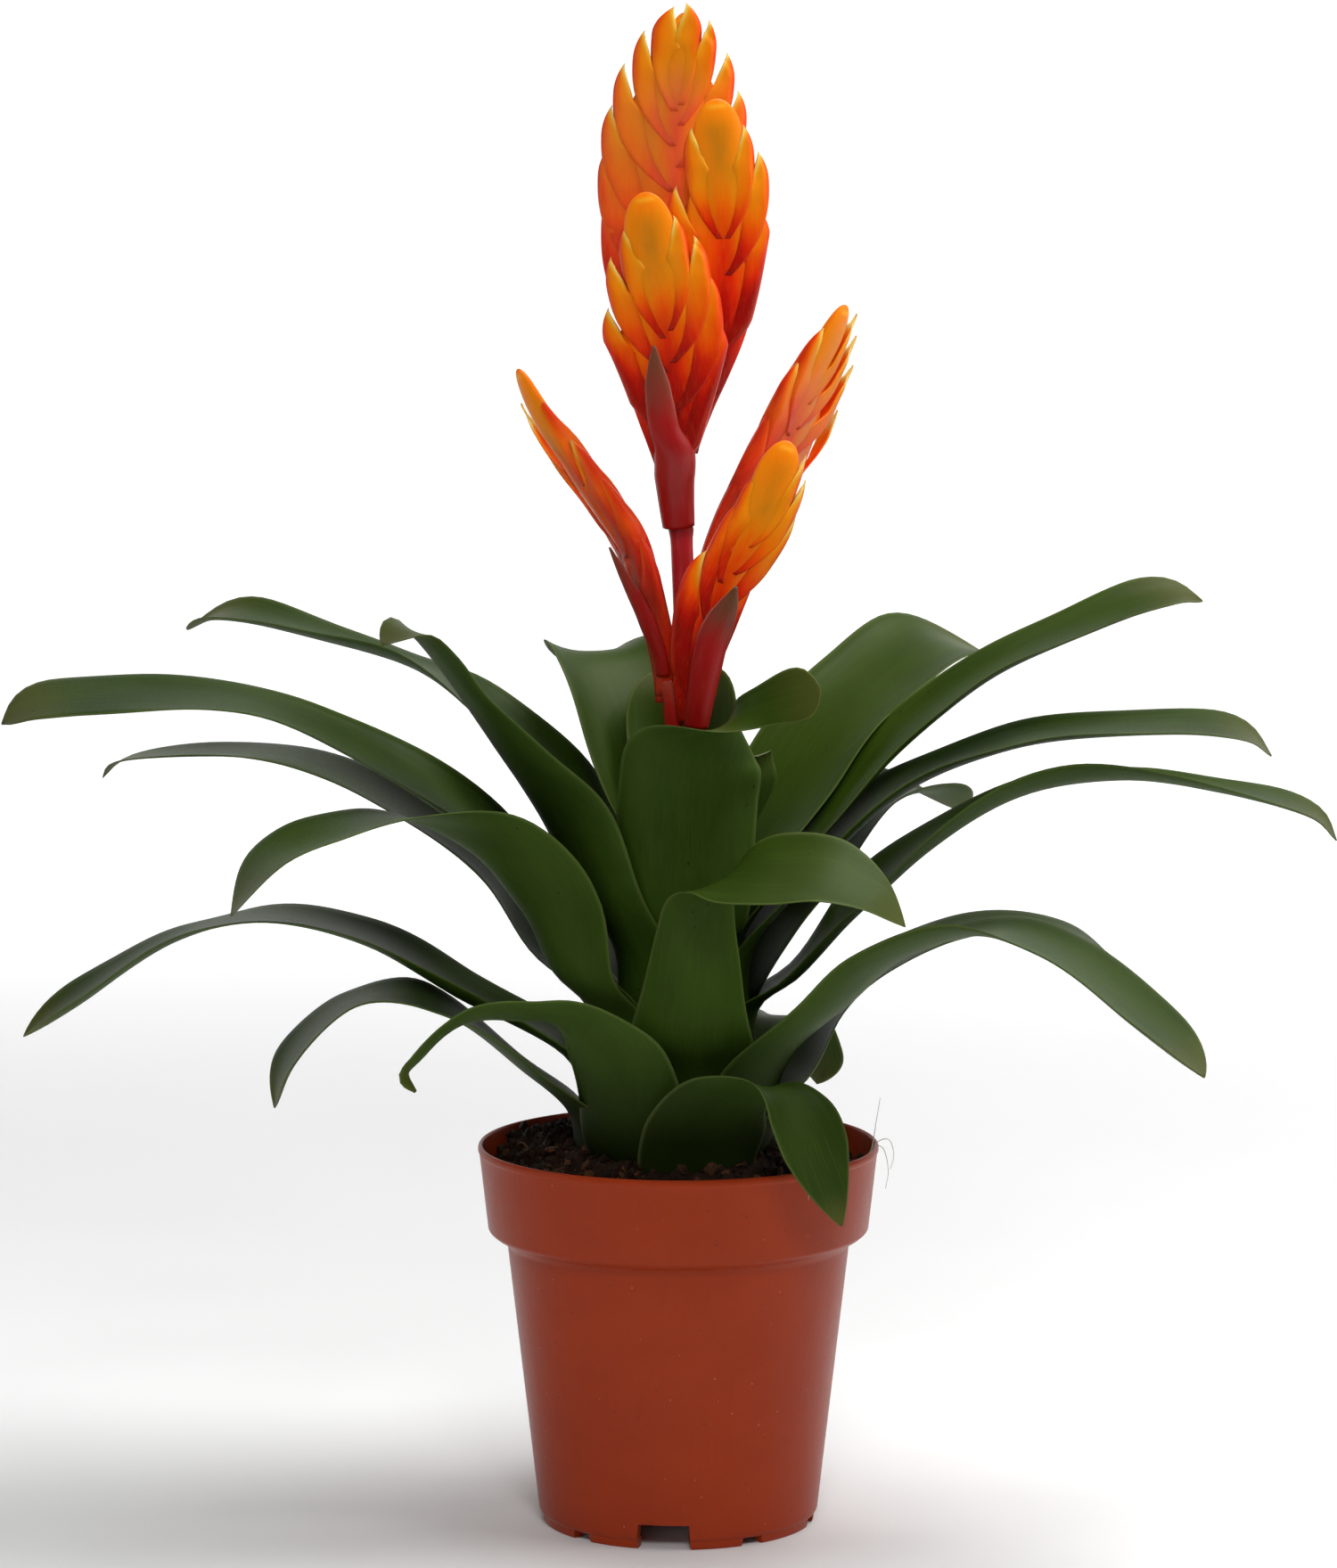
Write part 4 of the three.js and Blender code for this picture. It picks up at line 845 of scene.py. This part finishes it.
class Spike:
    """A flat flower spike's own frame: distance along its axis, across its broad side and out of it."""

    def __init__(self, spike):
        self.axis = Curve(spike["axis"])
        self.length = self.axis.length
        facing = spike["facing"] * DEG
        self.facing = np.array([math.cos(facing), math.sin(facing), 0])

    def place(self, distance, across, out):
        share = clamp(distance / self.length)
        way = self.axis.way(share)
        front = unit(self.facing - way * (way @ self.facing)[..., None])
        right = np.cross(way, front)
        beyond = distance - share * self.length
        spot = self.axis.at(share) + way * beyond[..., None]
        return spot + right * across[..., None] + front * out[..., None]


def envelope(spike, ends, depth, distance):
    """How far out the keels reach on one side."""
    places = [(0, 0.7 * spike["dome"])] + [(end[0] + 8, end[1]) for end in ends] + [(ends[-1][0] + 60, 4)]
    return np.minimum(along(places, depth), spike["stalk"] + spike["widening"] * distance)


def body_half(spike, ends, across, depth, distance):
    """How far the spike's smooth body bulges out of its middle plane."""
    reach = envelope(spike, ends, depth, distance) + 0.9
    bulge = mix(2.2, 3.5, smoothstep(4, 34, depth))
    return bulge * np.sqrt(np.maximum(1 - (across / reach) ** 2, 0.03))


def bract_end(depth, reach, hook=USUAL_HOOK, breadth=None):
    """A bract's end with its usual hook and breadth where the table gives none."""
    if breadth is None:
        breadth = 6.2 - 0.5 * hook
    return depth, reach, hook, breadth


def bract_mesh(spike, frame_of, ends, order, side, number):
    """One boat-shaped bract: a keel that hooks in at its tip, and two thin flanks on the spike's body."""
    depth_of_tip, reach, hook, breadth = bract_end(*ends[order])
    free = spike["free"]
    covered = order < len(ends) - 1
    length = frame_of.length
    tip = length - depth_of_tip
    foot = max(2, tip - BRACT_LENGTH - BRACT_LENGTHENING * depth_of_tip)
    distance = mix(foot, tip, BRACT_STEPS)
    below = tip - distance
    depth = length - distance
    down = clamp((below - BRACT_HOOK) / (tip - foot - BRACT_HOOK))
    keel = reach - hook * (1 - clamp(below / BRACT_HOOK)) ** 2.2 - (reach - BRACT_KEEL_FOOT) * down ** 2.4
    keel = np.minimum(keel, spike["stalk"] + spike["widening"] * distance)
    margin = reach - hook - breadth * (1 - np.exp(-(below / (9.5 * free)) ** 1.6))
    covers = 10.5 * free
    margin = margin - (reach - BRACT_MARGIN_FOOT) * clamp((below - covers) / (tip - foot - covers))
    margin = np.minimum(margin, keel - 0.25)
    rounding = mix(np.minimum(2.2, 0.4 + 0.5 * below), 0.6, smoothstep(11, 20, below) * covered)
    lifted = 1 - smoothstep(7 * free, 13 * free, below)
    sunk = smoothstep(8 * free, 17 * free, below)
    own = np.minimum(0.3 + 0.3 * below, 0.9 + 0.12 * below)

    outer_across = np.array([keel - (keel - margin) * abs(w) ** 1.5 for w in FLANKS])
    outer_out = []
    for w, across in zip(FLANKS, outer_across):
        on_body = body_half(spike, ends, across, depth, distance) + 0.3 + 0.04 * order
        on_body = on_body - 0.9 * sunk * abs(w) ** 1.6
        thick = mix(on_body, np.minimum(own, on_body), lifted)
        round_edge = np.sqrt(np.maximum(1 - (1 - clamp((keel - across) / rounding)) ** 2, 0))
        outer_out.append(np.sign(w) * thick * round_edge)
    outer_out = np.array(outer_out)
    slope_across = np.abs(np.gradient(outer_across, axis=0))
    slope_out = np.abs(np.gradient(outer_out, axis=0))
    skin = np.minimum(BRACT_SKIN, 0.16 + 0.06 * below) / np.maximum(np.hypot(slope_across, slope_out), 1e-9)
    inner_across = outer_across - slope_out * skin
    inner_out = outer_out - np.sign(outer_out) * np.minimum(slope_across * skin, np.abs(outer_out) * 0.8)
    across = np.concatenate([outer_across, inner_across[::-1]])
    out = np.concatenate([outer_out, inner_out[::-1]])
    rows = [frame_of.place(distance, side * own_across, own_out) for own_across, own_out in zip(across, out)]
    points, faces = closed_skin(np.stack(rows, 1))

    around = len(across)
    w = np.tile(np.abs([*FLANKS, *FLANKS[::-1]]), len(distance))
    inside = np.tile([0] * len(FLANKS) + [1] * len(FLANKS), len(distance))
    across = across.T.ravel()
    from_margin = np.repeat(keel - margin, around) * (1 - w ** 1.5)
    below, depth, distance = (np.repeat(values, around) for values in (below, depth, distance))
    near_axis = 1 - smoothstep(2, 11, np.abs(across))
    shows = 1 - 0.75 * smoothstep(9, 20, below) * covered
    ripe = smoothstep(*spike["ripe"], distance / length + 0.18 * (1 - clamp(below / 24)))
    ripe = ripe - 0.4 * near_axis * smoothstep(22, 38, depth) - 0.42 * shows * (1 - smoothstep(0, 0.75, w))
    rim = 1 - smoothstep(0, 2.2, from_margin)
    attributes = {
        "ripe": clamp(ripe),
        "keel": shows * (1 - smoothstep(0, 0.34, w)) * (1 - 0.6 * inside),
        "margin": clamp((0.85 * rim + 0.35 * inside) * (1 - smoothstep(4, 14, below))),
        "olive": 0.35 * spike["olive"] * near_axis * (1 - smoothstep(18, 30, depth)),
        "flush": spike["flush"] * smoothstep(14, 34, depth) * (0.35 + 0.65 * near_axis),
        "tip": 0.5 * (1 - smoothstep(0, 1.2, below)),
        "bract_place": np.stack([across, distance, np.full(len(points), number * 7.7)], -1),
    }
    return points, faces, attributes


def dome_mesh(spike, frame_of, number):
    """The spike's body up to its rounded last bract, out to where the bracts of each side come free."""
    length = frame_of.length
    dome = spike["dome"]
    top = spike["dome_drop"]
    low_end = length - min(60, 0.9 * length)
    to_tip = (1 - np.linspace(0, 1, 52)) ** 1.6
    distance = np.concatenate([np.linspace(0, low_end, 24)[:-1], length - (length - low_end) * to_tip])
    depth = length - distance
    crown = np.sqrt(np.maximum(1 - clamp(1 - (np.maximum(depth - top, 0) + 0.02) / 13) ** 2, 0.0004))
    halves = []
    for ends in (spike["right"], spike["left"]):
        places = [(0, dome)] + [(end[0] + 13 * spike["free"], max(end[1] - 4.3, dome)) for end in ends]
        reach = envelope(spike, ends, depth, distance) - 0.6 * smoothstep(20, 30, depth)
        half = mix(np.minimum(along(places, depth), reach), dome, 1 - smoothstep(8, 20, depth))
        halves.append(np.maximum(half, 0.8) * crown)
    sides = ((1, spike["right"], halves[0]), (-1, spike["left"], halves[1]))
    distance = np.minimum(distance, length - top)
    rows = []
    across_rows = []
    for turn in even_turns(DOME_SIDES):
        side, ends, half = sides[0] if math.cos(turn) >= 0 else sides[1]
        across = half * abs(math.cos(turn)) ** 0.9
        out = body_half(spike, ends, across, depth, distance) * crown
        out = out * np.sign(math.sin(turn)) * abs(math.sin(turn)) ** 0.6
        across_rows.append(side * across)
        rows.append(frame_of.place(distance, side * across, out))
    points, faces = closed_skin(np.stack(rows, 1))
    distance = np.repeat(distance, DOME_SIDES)
    depth = length - distance
    across = np.array(across_rows).T.ravel()
    flat = np.abs(across) / np.maximum(np.repeat(np.maximum(*halves), DOME_SIDES), 0.1)
    centre = np.exp(-(across / (0.55 * dome)) ** 2)
    ripe = smoothstep(*spike["ripe"], distance / length + 0.12) - 0.4 * centre * smoothstep(22, 38, depth)
    attributes = {
        "ripe": clamp(ripe),
        "keel": smoothstep(0.9, 1.0, flat) * 0.35 + 0.3 * (1 - smoothstep(0, 1.5, depth - top)),
        "margin": 0.5 * np.exp(-((depth - top - 2.2) / 0.7) ** 2) * (1 - smoothstep(0.4, 0.9, flat)),
        "olive": spike["olive"] * centre * smoothstep(3, 10, depth) * (1 - smoothstep(20, 32, depth)),
        "flush": spike["flush"] * smoothstep(14, 28, depth) * (0.4 + 0.6 * centre),
        "tip": 0 * ripe,
        "bract_place": np.stack([across, distance, np.full(len(points), number * 7.7)], -1),
    }
    return points, faces, attributes


BRACT = bract_material()
for spike in SPIKES:
    frame_of = Spike(spike)
    parts = [dome_mesh(spike, frame_of, 0)]
    for side, ends in ((1, spike["right"]), (-1, spike["left"])):
        for order in range(len(ends)):
            parts.append(bract_mesh(spike, frame_of, ends, order, side, len(parts)))
    points, faces, attributes = joined(parts)
    add_piece("dressed_" + spike["name"], points, faces, BRACT, [spike["name"]], attributes)


def stem_bract_mesh(bract, number):
    """A broad bract of the stem, a thin blade curved about its own line."""
    line = Curve(bract["path"])
    shares = np.linspace(0, 1, 40)
    way = line.way(shares)
    facing = np.array([math.cos(bract["facing"] * DEG), math.sin(bract["facing"] * DEG), 0])
    front = unit(facing - way * (way @ facing)[:, None])
    right = np.cross(way, front)
    curl = along(bract["curl"], shares)[:, None] * DEG
    half = along(bract["half"], shares)
    bow = half[:, None] / np.sin(curl)
    outer = []
    inner = []
    places = np.linspace(-1, 1, 13)
    for v in places:
        normal = front * np.cos(v * curl) + right * np.sin(v * curl)
        spot = line.at(shares) + (normal - front) * bow
        thick = BRACT_EDGE * (1 - 0.5 * abs(v) ** 3) * np.interp(shares, [0, 0.9, 1], [1, 0.8, 0.4])
        outer.append(spot + normal * thick[:, None])
        inner.append(spot - normal * thick[:, None])
    points, faces = closed_skin(np.stack([*outer, *inner[::-1]], 1))
    around = 2 * len(places)
    across = np.tile([*places, *places[::-1]], len(shares))
    distance = np.repeat(shares * line.length, around)
    out = across * np.repeat(half, around)
    attributes = {
        "share": np.repeat(shares, around),
        "across": across,
        "brown": np.full(len(points), bract["brown"]),
        "bract_place": np.stack([out, distance, np.full(len(points), number * 5.1)], -1),
    }
    return points, faces, attributes


STEM_BRACT = stem_bract_material()
for number, bract in enumerate(STEM_BRACTS):
    points, faces, attributes = stem_bract_mesh(bract, number)
    add_piece("dressed_" + bract["name"], points, faces, STEM_BRACT, [bract["name"]], attributes)


def scape_piece():
    """The flower's stem, round, with low rings where its bracts grow."""
    shares = np.linspace(0.02, 1, 90)
    radii = np.interp(shares, [0, 0.2, 0.4, 1], [3.8, 3.5, 3.3, 3.3])
    ring = 0 * shares
    for share, size in SCAPE_RINGS:
        bulge = np.exp(-((shares - share) / 0.006) ** 2)
        radii = radii + size * bulge
        ring = ring + bulge
    points, faces = tube(Curve(SCAPE).at(shares), radii, SCAPE_SIDES)
    attributes = {"ring": np.repeat(clamp(ring), SCAPE_SIDES)}
    add_piece("dressed_flower_stem", points, faces, scape_material(), ["flower_stem"], attributes)


scape_piece()


def rounded(profile, radius):
    """A closed profile whose corners are rounded, apart from those on the axis."""
    made = []
    profile = np.array(profile, float)
    for before, corner, after in zip(np.roll(profile, 1, 0), profile, np.roll(profile, -1, 0)):
        if corner[0] < 0.1:
            made.append(corner)
            continue
        back = before - corner
        ahead = after - corner
        cut = min(radius, 0.45 * np.linalg.norm(back), 0.45 * np.linalg.norm(ahead))
        a = corner + unit(back) * cut
        b = corner + unit(ahead) * cut
        for t in np.linspace(0, 1, 4):
            made.append((1 - t) ** 2 * a + 2 * t * (1 - t) * corner + t ** 2 * b)
    return np.array(made)


def turned_body(name, profile, wave=0):
    """A closed profile turned about the axis, made a little oval higher up by the wave."""
    turns = even_turns(POT_SIDES)
    radii = profile[:, :1] + wave * np.sin(2 * turns + 0.7) * smoothstep(20, POT_HEIGHT, profile[:, 1:])
    heights = np.broadcast_to(profile[:, 1:], radii.shape)
    rows = np.stack([radii * np.cos(turns), radii * np.sin(turns), heights], -1)
    faces = []
    for i in range(len(profile)):
        here = i * POT_SIDES
        above = (i + 1) % len(profile) * POT_SIDES
        for j in range(POT_SIDES):
            turn = (j + 1) % POT_SIDES
            faces.append((here + j, here + turn, above + turn, above + j))
    made = mesh_object(name, rows.reshape(-1, 3), faces)
    shape = bmesh.new()
    shape.from_mesh(made.data)
    bmesh.ops.remove_doubles(shape, verts=shape.verts, dist=1e-6)
    bmesh.ops.recalc_face_normals(shape, faces=shape.faces)
    shape.to_mesh(made.data)
    shape.free()
    return made


def pot_shell():
    """The pot's wall and floor, from the middle of its underside up outside and back down inside."""
    collar = POT_HEIGHT - BAND_DROP
    outline = rounded([
        (0.01, FLOOR_TOP - WALL),
        (WALL_FOOT_RADIUS - 3, FLOOR_TOP - WALL),
        (WALL_FOOT_RADIUS - 3, FOOT_HEIGHT - 0.6),
        (WALL_FOOT_RADIUS - 0.8, FOOT_HEIGHT - 0.6),
        (WALL_FOOT_RADIUS, FOOT_HEIGHT + 0.6),
        (WALL_TOP_RADIUS - 0.3, collar - 3.2),
        (WALL_TOP_RADIUS + 1.2, collar - 1),
        (BAND_FOOT_RADIUS - 1.6, collar - 0.2),
        (BAND_FOOT_RADIUS, collar + 1.2),
        (RIM_RADIUS - 0.4, POT_HEIGHT - 2.6),
        (RIM_RADIUS, POT_HEIGHT - 2),
        (RIM_RADIUS, POT_HEIGHT - 0.8),
        (RIM_RADIUS - 0.6, POT_HEIGHT),
        (RIM_RADIUS - 1.3, POT_HEIGHT - 0.4),
        (RIM_RADIUS - 1.6, POT_HEIGHT - 3),
        (BAND_FOOT_RADIUS - WALL, collar + 2),
        (WALL_TOP_RADIUS - WALL + 0.3, collar - 1.5),
        (WALL_FOOT_RADIUS - WALL, FLOOR_TOP + 2),
        (WALL_FOOT_RADIUS - WALL - 2, FLOOR_TOP),
        (0.01, FLOOR_TOP),
    ], 0.6)
    # Long runs are split, so that the wall can be a little uneven as a moulded pot is
    profile = [outline[0]]
    for point in outline[1:]:
        gap = np.linalg.norm(point - profile[-1])
        for step in np.linspace(0, 1, max(2, int(gap / LONGEST_RUN) + 1))[1:]:
            profile.append(mix(profile[-1], point, step) if step < 1 else point)
    return turned_body("pot_shell", np.array(profile), WALL_WAVE)


def wedge(heading, half_angle, top):
    """A block that opens a slot in the pot's foot, narrower at its top."""
    rows = []
    for r in (WALL_FOOT_RADIUS - 12, RIM_RADIUS):
        row = []
        for side, angle, z in ((-1, half_angle, -1), (-1, half_angle - CUT_TAPER, top),
                               (1, half_angle - CUT_TAPER, top), (1, half_angle, -1)):
            turn = (heading + side * angle) * DEG
            row.append((r * math.cos(turn), r * math.sin(turn), z))
        rows.append(row)
    return (*closed_skin(np.array(rows)), {})


def combine(made, operation, other):
    """The object is cut by the other or joined with it, and the other is removed."""
    modifier = made.modifiers.new("combine", "BOOLEAN")
    modifier.operation = operation
    modifier.solver = "EXACT"
    modifier.use_self = operation == "DIFFERENCE"
    modifier.object = other
    view = bpy.context.evaluated_depsgraph_get()
    result = bpy.data.meshes.new_from_object(made.evaluated_get(view))
    made.modifiers.clear()
    made.data = result
    bpy.data.objects.remove(other)


def pot_piece():
    """The pot, with drain slots through its foot and gaps between its short feet."""
    body = pot_shell()
    feet = turned_body("pot_feet", rounded([
        (FOOT_INNER, 0),
        (FOOT_OUTER, 0),
        (FOOT_OUTER + 0.5, FOOT_HEIGHT + 0.3),
        (FOOT_INNER - 0.5, FOOT_HEIGHT + 0.3),
    ], 0.5))
    headings = [SLOT_HEADING + i * 120 for i in range(3)]
    slots = [wedge(heading, SLOT_HALF_ANGLE, SLOT_HEIGHT) for heading in headings]
    gaps = []
    for heading in headings:
        gaps += [wedge(heading + at, FOOT_GAP_HALF_ANGLE, FOOT_HEIGHT + 0.05) for at in FOOT_GAPS]
    for made, cuts in ((body, slots), (feet, slots + gaps)):
        points, faces, _ = joined(cuts)
        combine(made, "DIFFERENCE", mesh_object("pot_cutter", points, faces))
    combine(body, "UNION", feet)
    body.name = body.data.name = "dressed_pot"
    body.data.materials.clear()
    body.data.materials.append(pot_material())
    body.data.polygons.foreach_set("use_smooth", [True] * len(body.data.polygons))
    body.data.set_sharp_from_angle(angle=38 * DEG)
    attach(body, "root")
    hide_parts("pot")


pot_piece()


def soil_height(x, y):
    """The lumpy top of the mix, mounded round the plant, with a heap at the back left."""
    heap = HEAP_HEIGHT * np.exp(-((x - HEAP[0]) ** 2 + (y - HEAP[1]) ** 2) / (2 * HEAP_SPREAD ** 2))
    mound = MOUND * (1 - clamp((np.hypot(x, y) - MOUND_FROM) / (SOIL_RADIUS - MOUND_FROM))) ** 1.2
    lumps = (1.1 * np.sin(x * 0.42 + 1.3) * np.cos(y * 0.37) + 0.7 * np.sin(x * 0.83 - y * 0.71 + 0.6)
             + 0.45 * np.sin(x * 1.7 + 0.4) * np.sin(y * 1.9 + 1.0) + 0.25 * np.sin(x * 3.3 + y * 2.9))
    return SOIL_LEVEL + heap + mound + lumps


def ball(level):
    shape = bmesh.new()
    bmesh.ops.create_icosphere(shape, subdivisions=level, radius=1)
    points = np.array([vert.co for vert in shape.verts])
    faces = [tuple(vert.index for vert in face.verts) for face in shape.faces]
    shape.free()
    return points, faces


COARSE = ball(2)
FINE = ball(1)


def lump(shape, centre, sizes, rough, crumb):
    """A rough ball of the given half sizes, turned by chance."""
    points, faces = shape
    own = points * (1 + chance.uniform(-rough, rough, (len(points), 1))) * sizes
    first, tilt, last = chance.uniform(0, 2 * math.pi, 3)
    turn = Matrix.Rotation(first, 3, "Z") @ Matrix.Rotation(tilt, 3, "X") @ Matrix.Rotation(last, 3, "Z")
    return own @ np.array(turn).T + centre, faces, {"crumb": np.full(len(own), crumb)}


def soil_piece():
    """The potting mix: a lumpy top strewn with crumbs, over a closed body that hides in the pot."""
    turns = even_turns(SOIL_SIDES)
    radii = np.concatenate([[0.5], np.linspace(6, SOIL_RADIUS - 0.3, 46)])[:, None]
    x = radii * np.cos(turns)
    y = radii * np.sin(turns)
    z = soil_height(x, y) + chance.uniform(-0.35, 0.35, x.shape)
    z = z - 0.8 * smoothstep(SOIL_RADIUS - 5, SOIL_RADIUS, radii)
    rows = np.stack([x, y, z], -1)
    under = rows[::-1].copy()
    under[..., 2] = np.minimum(under[..., 2] - 4, SOIL_LEVEL - 6)
    under[..., :2] *= 0.99
    points, faces = closed_skin(np.concatenate([rows, under]), caps=False)
    parts = [(points, faces, {"crumb": chance.uniform(0.25, 0.7, len(points))})]
    for i in range(CRUMBS):
        radius = math.sqrt(chance.uniform(CRUMBS_FROM ** 2, (SOIL_RADIUS - 0.6) ** 2))
        turn = chance.uniform(0, 2 * math.pi)
        size = 0.35 + 1.5 * chance.uniform() ** 3
        radius = min(radius, SOIL_RADIUS - 0.4 - size)
        px = radius * math.cos(turn)
        py = radius * math.sin(turn)
        sizes = size * chance.uniform(0.55, 1.25, 3)
        height = soil_height(px, py) + size * chance.uniform(-0.2, 0.7)
        crumb = chance.uniform() ** 1.5
        parts.append(lump(COARSE if size > 1.1 else FINE, (px, py, height), sizes, 0.3, crumb))
    points, faces, attributes = joined(parts)
    add_piece("dressed_potting_mix", points, faces, mix_material(), ["potting_mix"],
              attributes, smooth=False)


soil_piece()


def strewn(name, material, count, size, flat, headings, distances):
    """Small bits lying on the mix, between two headings and two distances from the axis."""
    parts = []
    for i in range(count):
        turn = chance.uniform(*headings) * DEG
        radius = chance.uniform(*distances)
        px = radius * math.cos(turn)
        py = radius * math.sin(turn)
        own = chance.uniform(*size)
        length = own * chance.uniform(0.7, 1.3)
        breadth = own * chance.uniform(0.5, 1.0)
        sizes = (length, breadth, own * flat * chance.uniform(0.7, 1.2))
        parts.append(lump(FINE, (px, py, soil_height(px, py) + 0.6 * own), sizes, 0.25, 0.5))
    points, faces, attributes = joined(parts)
    add_piece(name, points, faces, material, (), attributes, smooth=False)


GRIT = plain_material("grit", (126, 116, 104), (196, 188, 176), 0.8, 900)
BARK = plain_material("bark", (44, 26, 16), (104, 66, 40), 0.85, 500)
strewn("mix_grit", GRIT, 46, (0.25, 0.7), 0.8, (-118, -48), (47, 56.5))
strewn("mix_bark", BARK, 60, (0.9, 2.4), 0.4, (0, 360), (38, 55))


def strand(points, radius):
    """A thin strand through points, tapering to its end."""
    line = Curve(points)
    shares = np.linspace(0, 1, max(12, int(line.length / 0.7)))
    return (*tube(line.at(shares), radius * (1 - 0.55 * shares), 6), {})


ROOTS = [
    ((55, -12, 109), (57.6, -13, 116), (58.9, -13.6, 124), (60, -14, 131)),
    ((55, -10, 108), (58.2, -10.5, 115.6), (60.8, -10.8, 115.4), (62.6, -11, 108.4), (61.8, -11.4, 103)),
    ((56, -6, 109), (59.3, -6.2, 116), (62.8, -6.4, 117), (64.4, -6.6, 112.4), (63.4, -7, 108)),
    ((34, -45, 108), (37, -47.8, 115.7), (37.8, -48.4, 113.6), (38, -48.7, 107)),
]
FIBRES = [
    ((-43, -34, 108.5), (-41, -37, 109.6), (-38, -40, 108.6), (-34, -43, 108.4)),
    ((-20, -50, 107.6), (-14, -51, 108.6), (-8, -52.4, 107.6)),
    ((10, -51, 107.6), (16, -50.4, 108.8), (21, -49.4, 107.8)),
    ((-50, 14, 110), (-47, 9, 113), (-43, 3, 109)),
]
for name, lines, radius, dark, light in (
    ("roots_at_rim", ROOTS, 0.16, (150, 128, 100), (208, 192, 168)),
    ("mix_fibres", FIBRES, 0.45, (70, 44, 26), (128, 92, 60)),
):
    points, faces, _ = joined([strand(line, radius) for line in lines])
    add_piece(name, points, faces, plain_material(name, dark, light, 0.8, 800))


# The stage is in metres. The floor glows from some way out, so that it fades to the white of the wall
FLOOR_FRONT = -0.4
WALL_AT = 4.4
SWEEP_RADIUS = 0.8
SWEEP_HALF_WIDTH = 4.5
WALL_HEIGHT = 4.0
GLOW_FROM = 0.5
GLOW_TO = 1.6
GLOW = 0.75


def stage_floor():
    """A plain pale sweep: a floor that curves up into a wall behind."""
    profile = [(FLOOR_FRONT, 0.0)]
    for turn in np.linspace(0, math.pi / 2, 20):
        profile.append((WALL_AT - SWEEP_RADIUS * (1 - math.sin(turn)), SWEEP_RADIUS * (1 - math.cos(turn))))
    profile.append((WALL_AT, WALL_HEIGHT))
    points = [(x, y, z) for x in (-SWEEP_HALF_WIDTH, SWEEP_HALF_WIDTH) for y, z in profile]
    count = len(profile)
    faces = [(i, i + count, i + count + 1, i + 1) for i in range(count - 1)]
    mesh = bpy.data.meshes.new("studio_sweep")
    mesh.from_pydata(points, [], faces)
    mesh.polygons.foreach_set("use_smooth", [True] * len(faces))
    sweep = bpy.data.objects.new("studio_sweep", mesh)
    bpy.context.collection.objects.link(sweep)
    s = Shader("studio_white")
    spot = s.node("NewGeometry").outputs["Position"]
    colour = s.blend(s.noise(spot, 1.5, 2, 0.5), linear(239, 239, 239), linear(243, 243, 243))
    away = s.node("VectorMath", {0: spot}, operation="LENGTH").outputs["Value"]
    mesh.materials.append(s.finish(Base_Color=colour, Roughness=0.9, Specular_IOR_Level=0.1,
                                   Emission_Color=(1, 1, 1, 1),
                                   Emission_Strength=s.span(away, GLOW_FROM, GLOW_TO, 0, GLOW)))


stage_floor()


def area_light(name, place, target, size, power, shines=True):
    """A soft light that faces a point, and shows in gloss or doesn't."""
    data = bpy.data.lights.new(name, "AREA")
    data.shape = "RECTANGLE"
    data.size, data.size_y = size
    data.energy = power
    light = bpy.data.objects.new(name, data)
    bpy.context.collection.objects.link(light)
    light.location = place
    light.rotation_euler = (Vector(target) - Vector(place)).to_track_quat("-Z", "Y").to_euler()
    light.visible_glossy = shines


area_light("softbox_top", (0.5, 0.1, 1.4), (0, 0, 0.2), (0.9, 0.9), 20)
area_light("softbox_right", (1.25, -0.35, 0.9), (0, 0, 0.2), (0.9, 1.1), 6.5)
area_light("softbox_left", (-1.3, -0.2, 0.75), (0, 0, 0.22), (0.8, 1.0), 3)
area_light("softbox_front", (0.1, -2.0, 1.5), (0, 0, 0.2), (0.6, 0.5), 15.5, False)
area_light("softbox_flower", (0.1, -1.0, 0.9), (0, 0, 0.38), (0.3, 0.3), 0.75, False)
area_light("softbox_low", (-0.4, -1.5, 0.3), (0, 0, 0.2), (0.8, 0.4), 3.2, False)

scene = bpy.context.scene
scene.world = bpy.data.worlds.new("studio")
scene.world.use_nodes = True
background = scene.world.node_tree.nodes["Background"]
background.inputs["Color"].default_value = (1, 1, 1, 1)
background.inputs["Strength"].default_value = 0.03
scene.view_settings.view_transform = "Standard"
scene.view_settings.look = "None"

# The camera, at the photograph's angle and distance. Its focal length is in pixels of a frame 1759 high
FRAME_HEIGHT = 1759
FOCAL_LENGTH = 6841
CAMERA_ASIDE = -0.00295
CAMERA_DISTANCE = 1.8
CAMERA_HEIGHT = 0.458
CAMERA_DOWN = 7.43
camera_data = bpy.data.cameras.new("camera")
camera_data.sensor_width = 36
camera_data.lens = FOCAL_LENGTH / FRAME_HEIGHT * 36
camera_data.clip_end = 50
camera = bpy.data.objects.new("camera", camera_data)
bpy.context.collection.objects.link(camera)
camera.location = (POT_AXIS[0] + CAMERA_ASIDE, POT_AXIS[1] - CAMERA_DISTANCE, CAMERA_HEIGHT)
camera.rotation_euler = ((90 - CAMERA_DOWN) * DEG, 0, 0)
scene.camera = camera
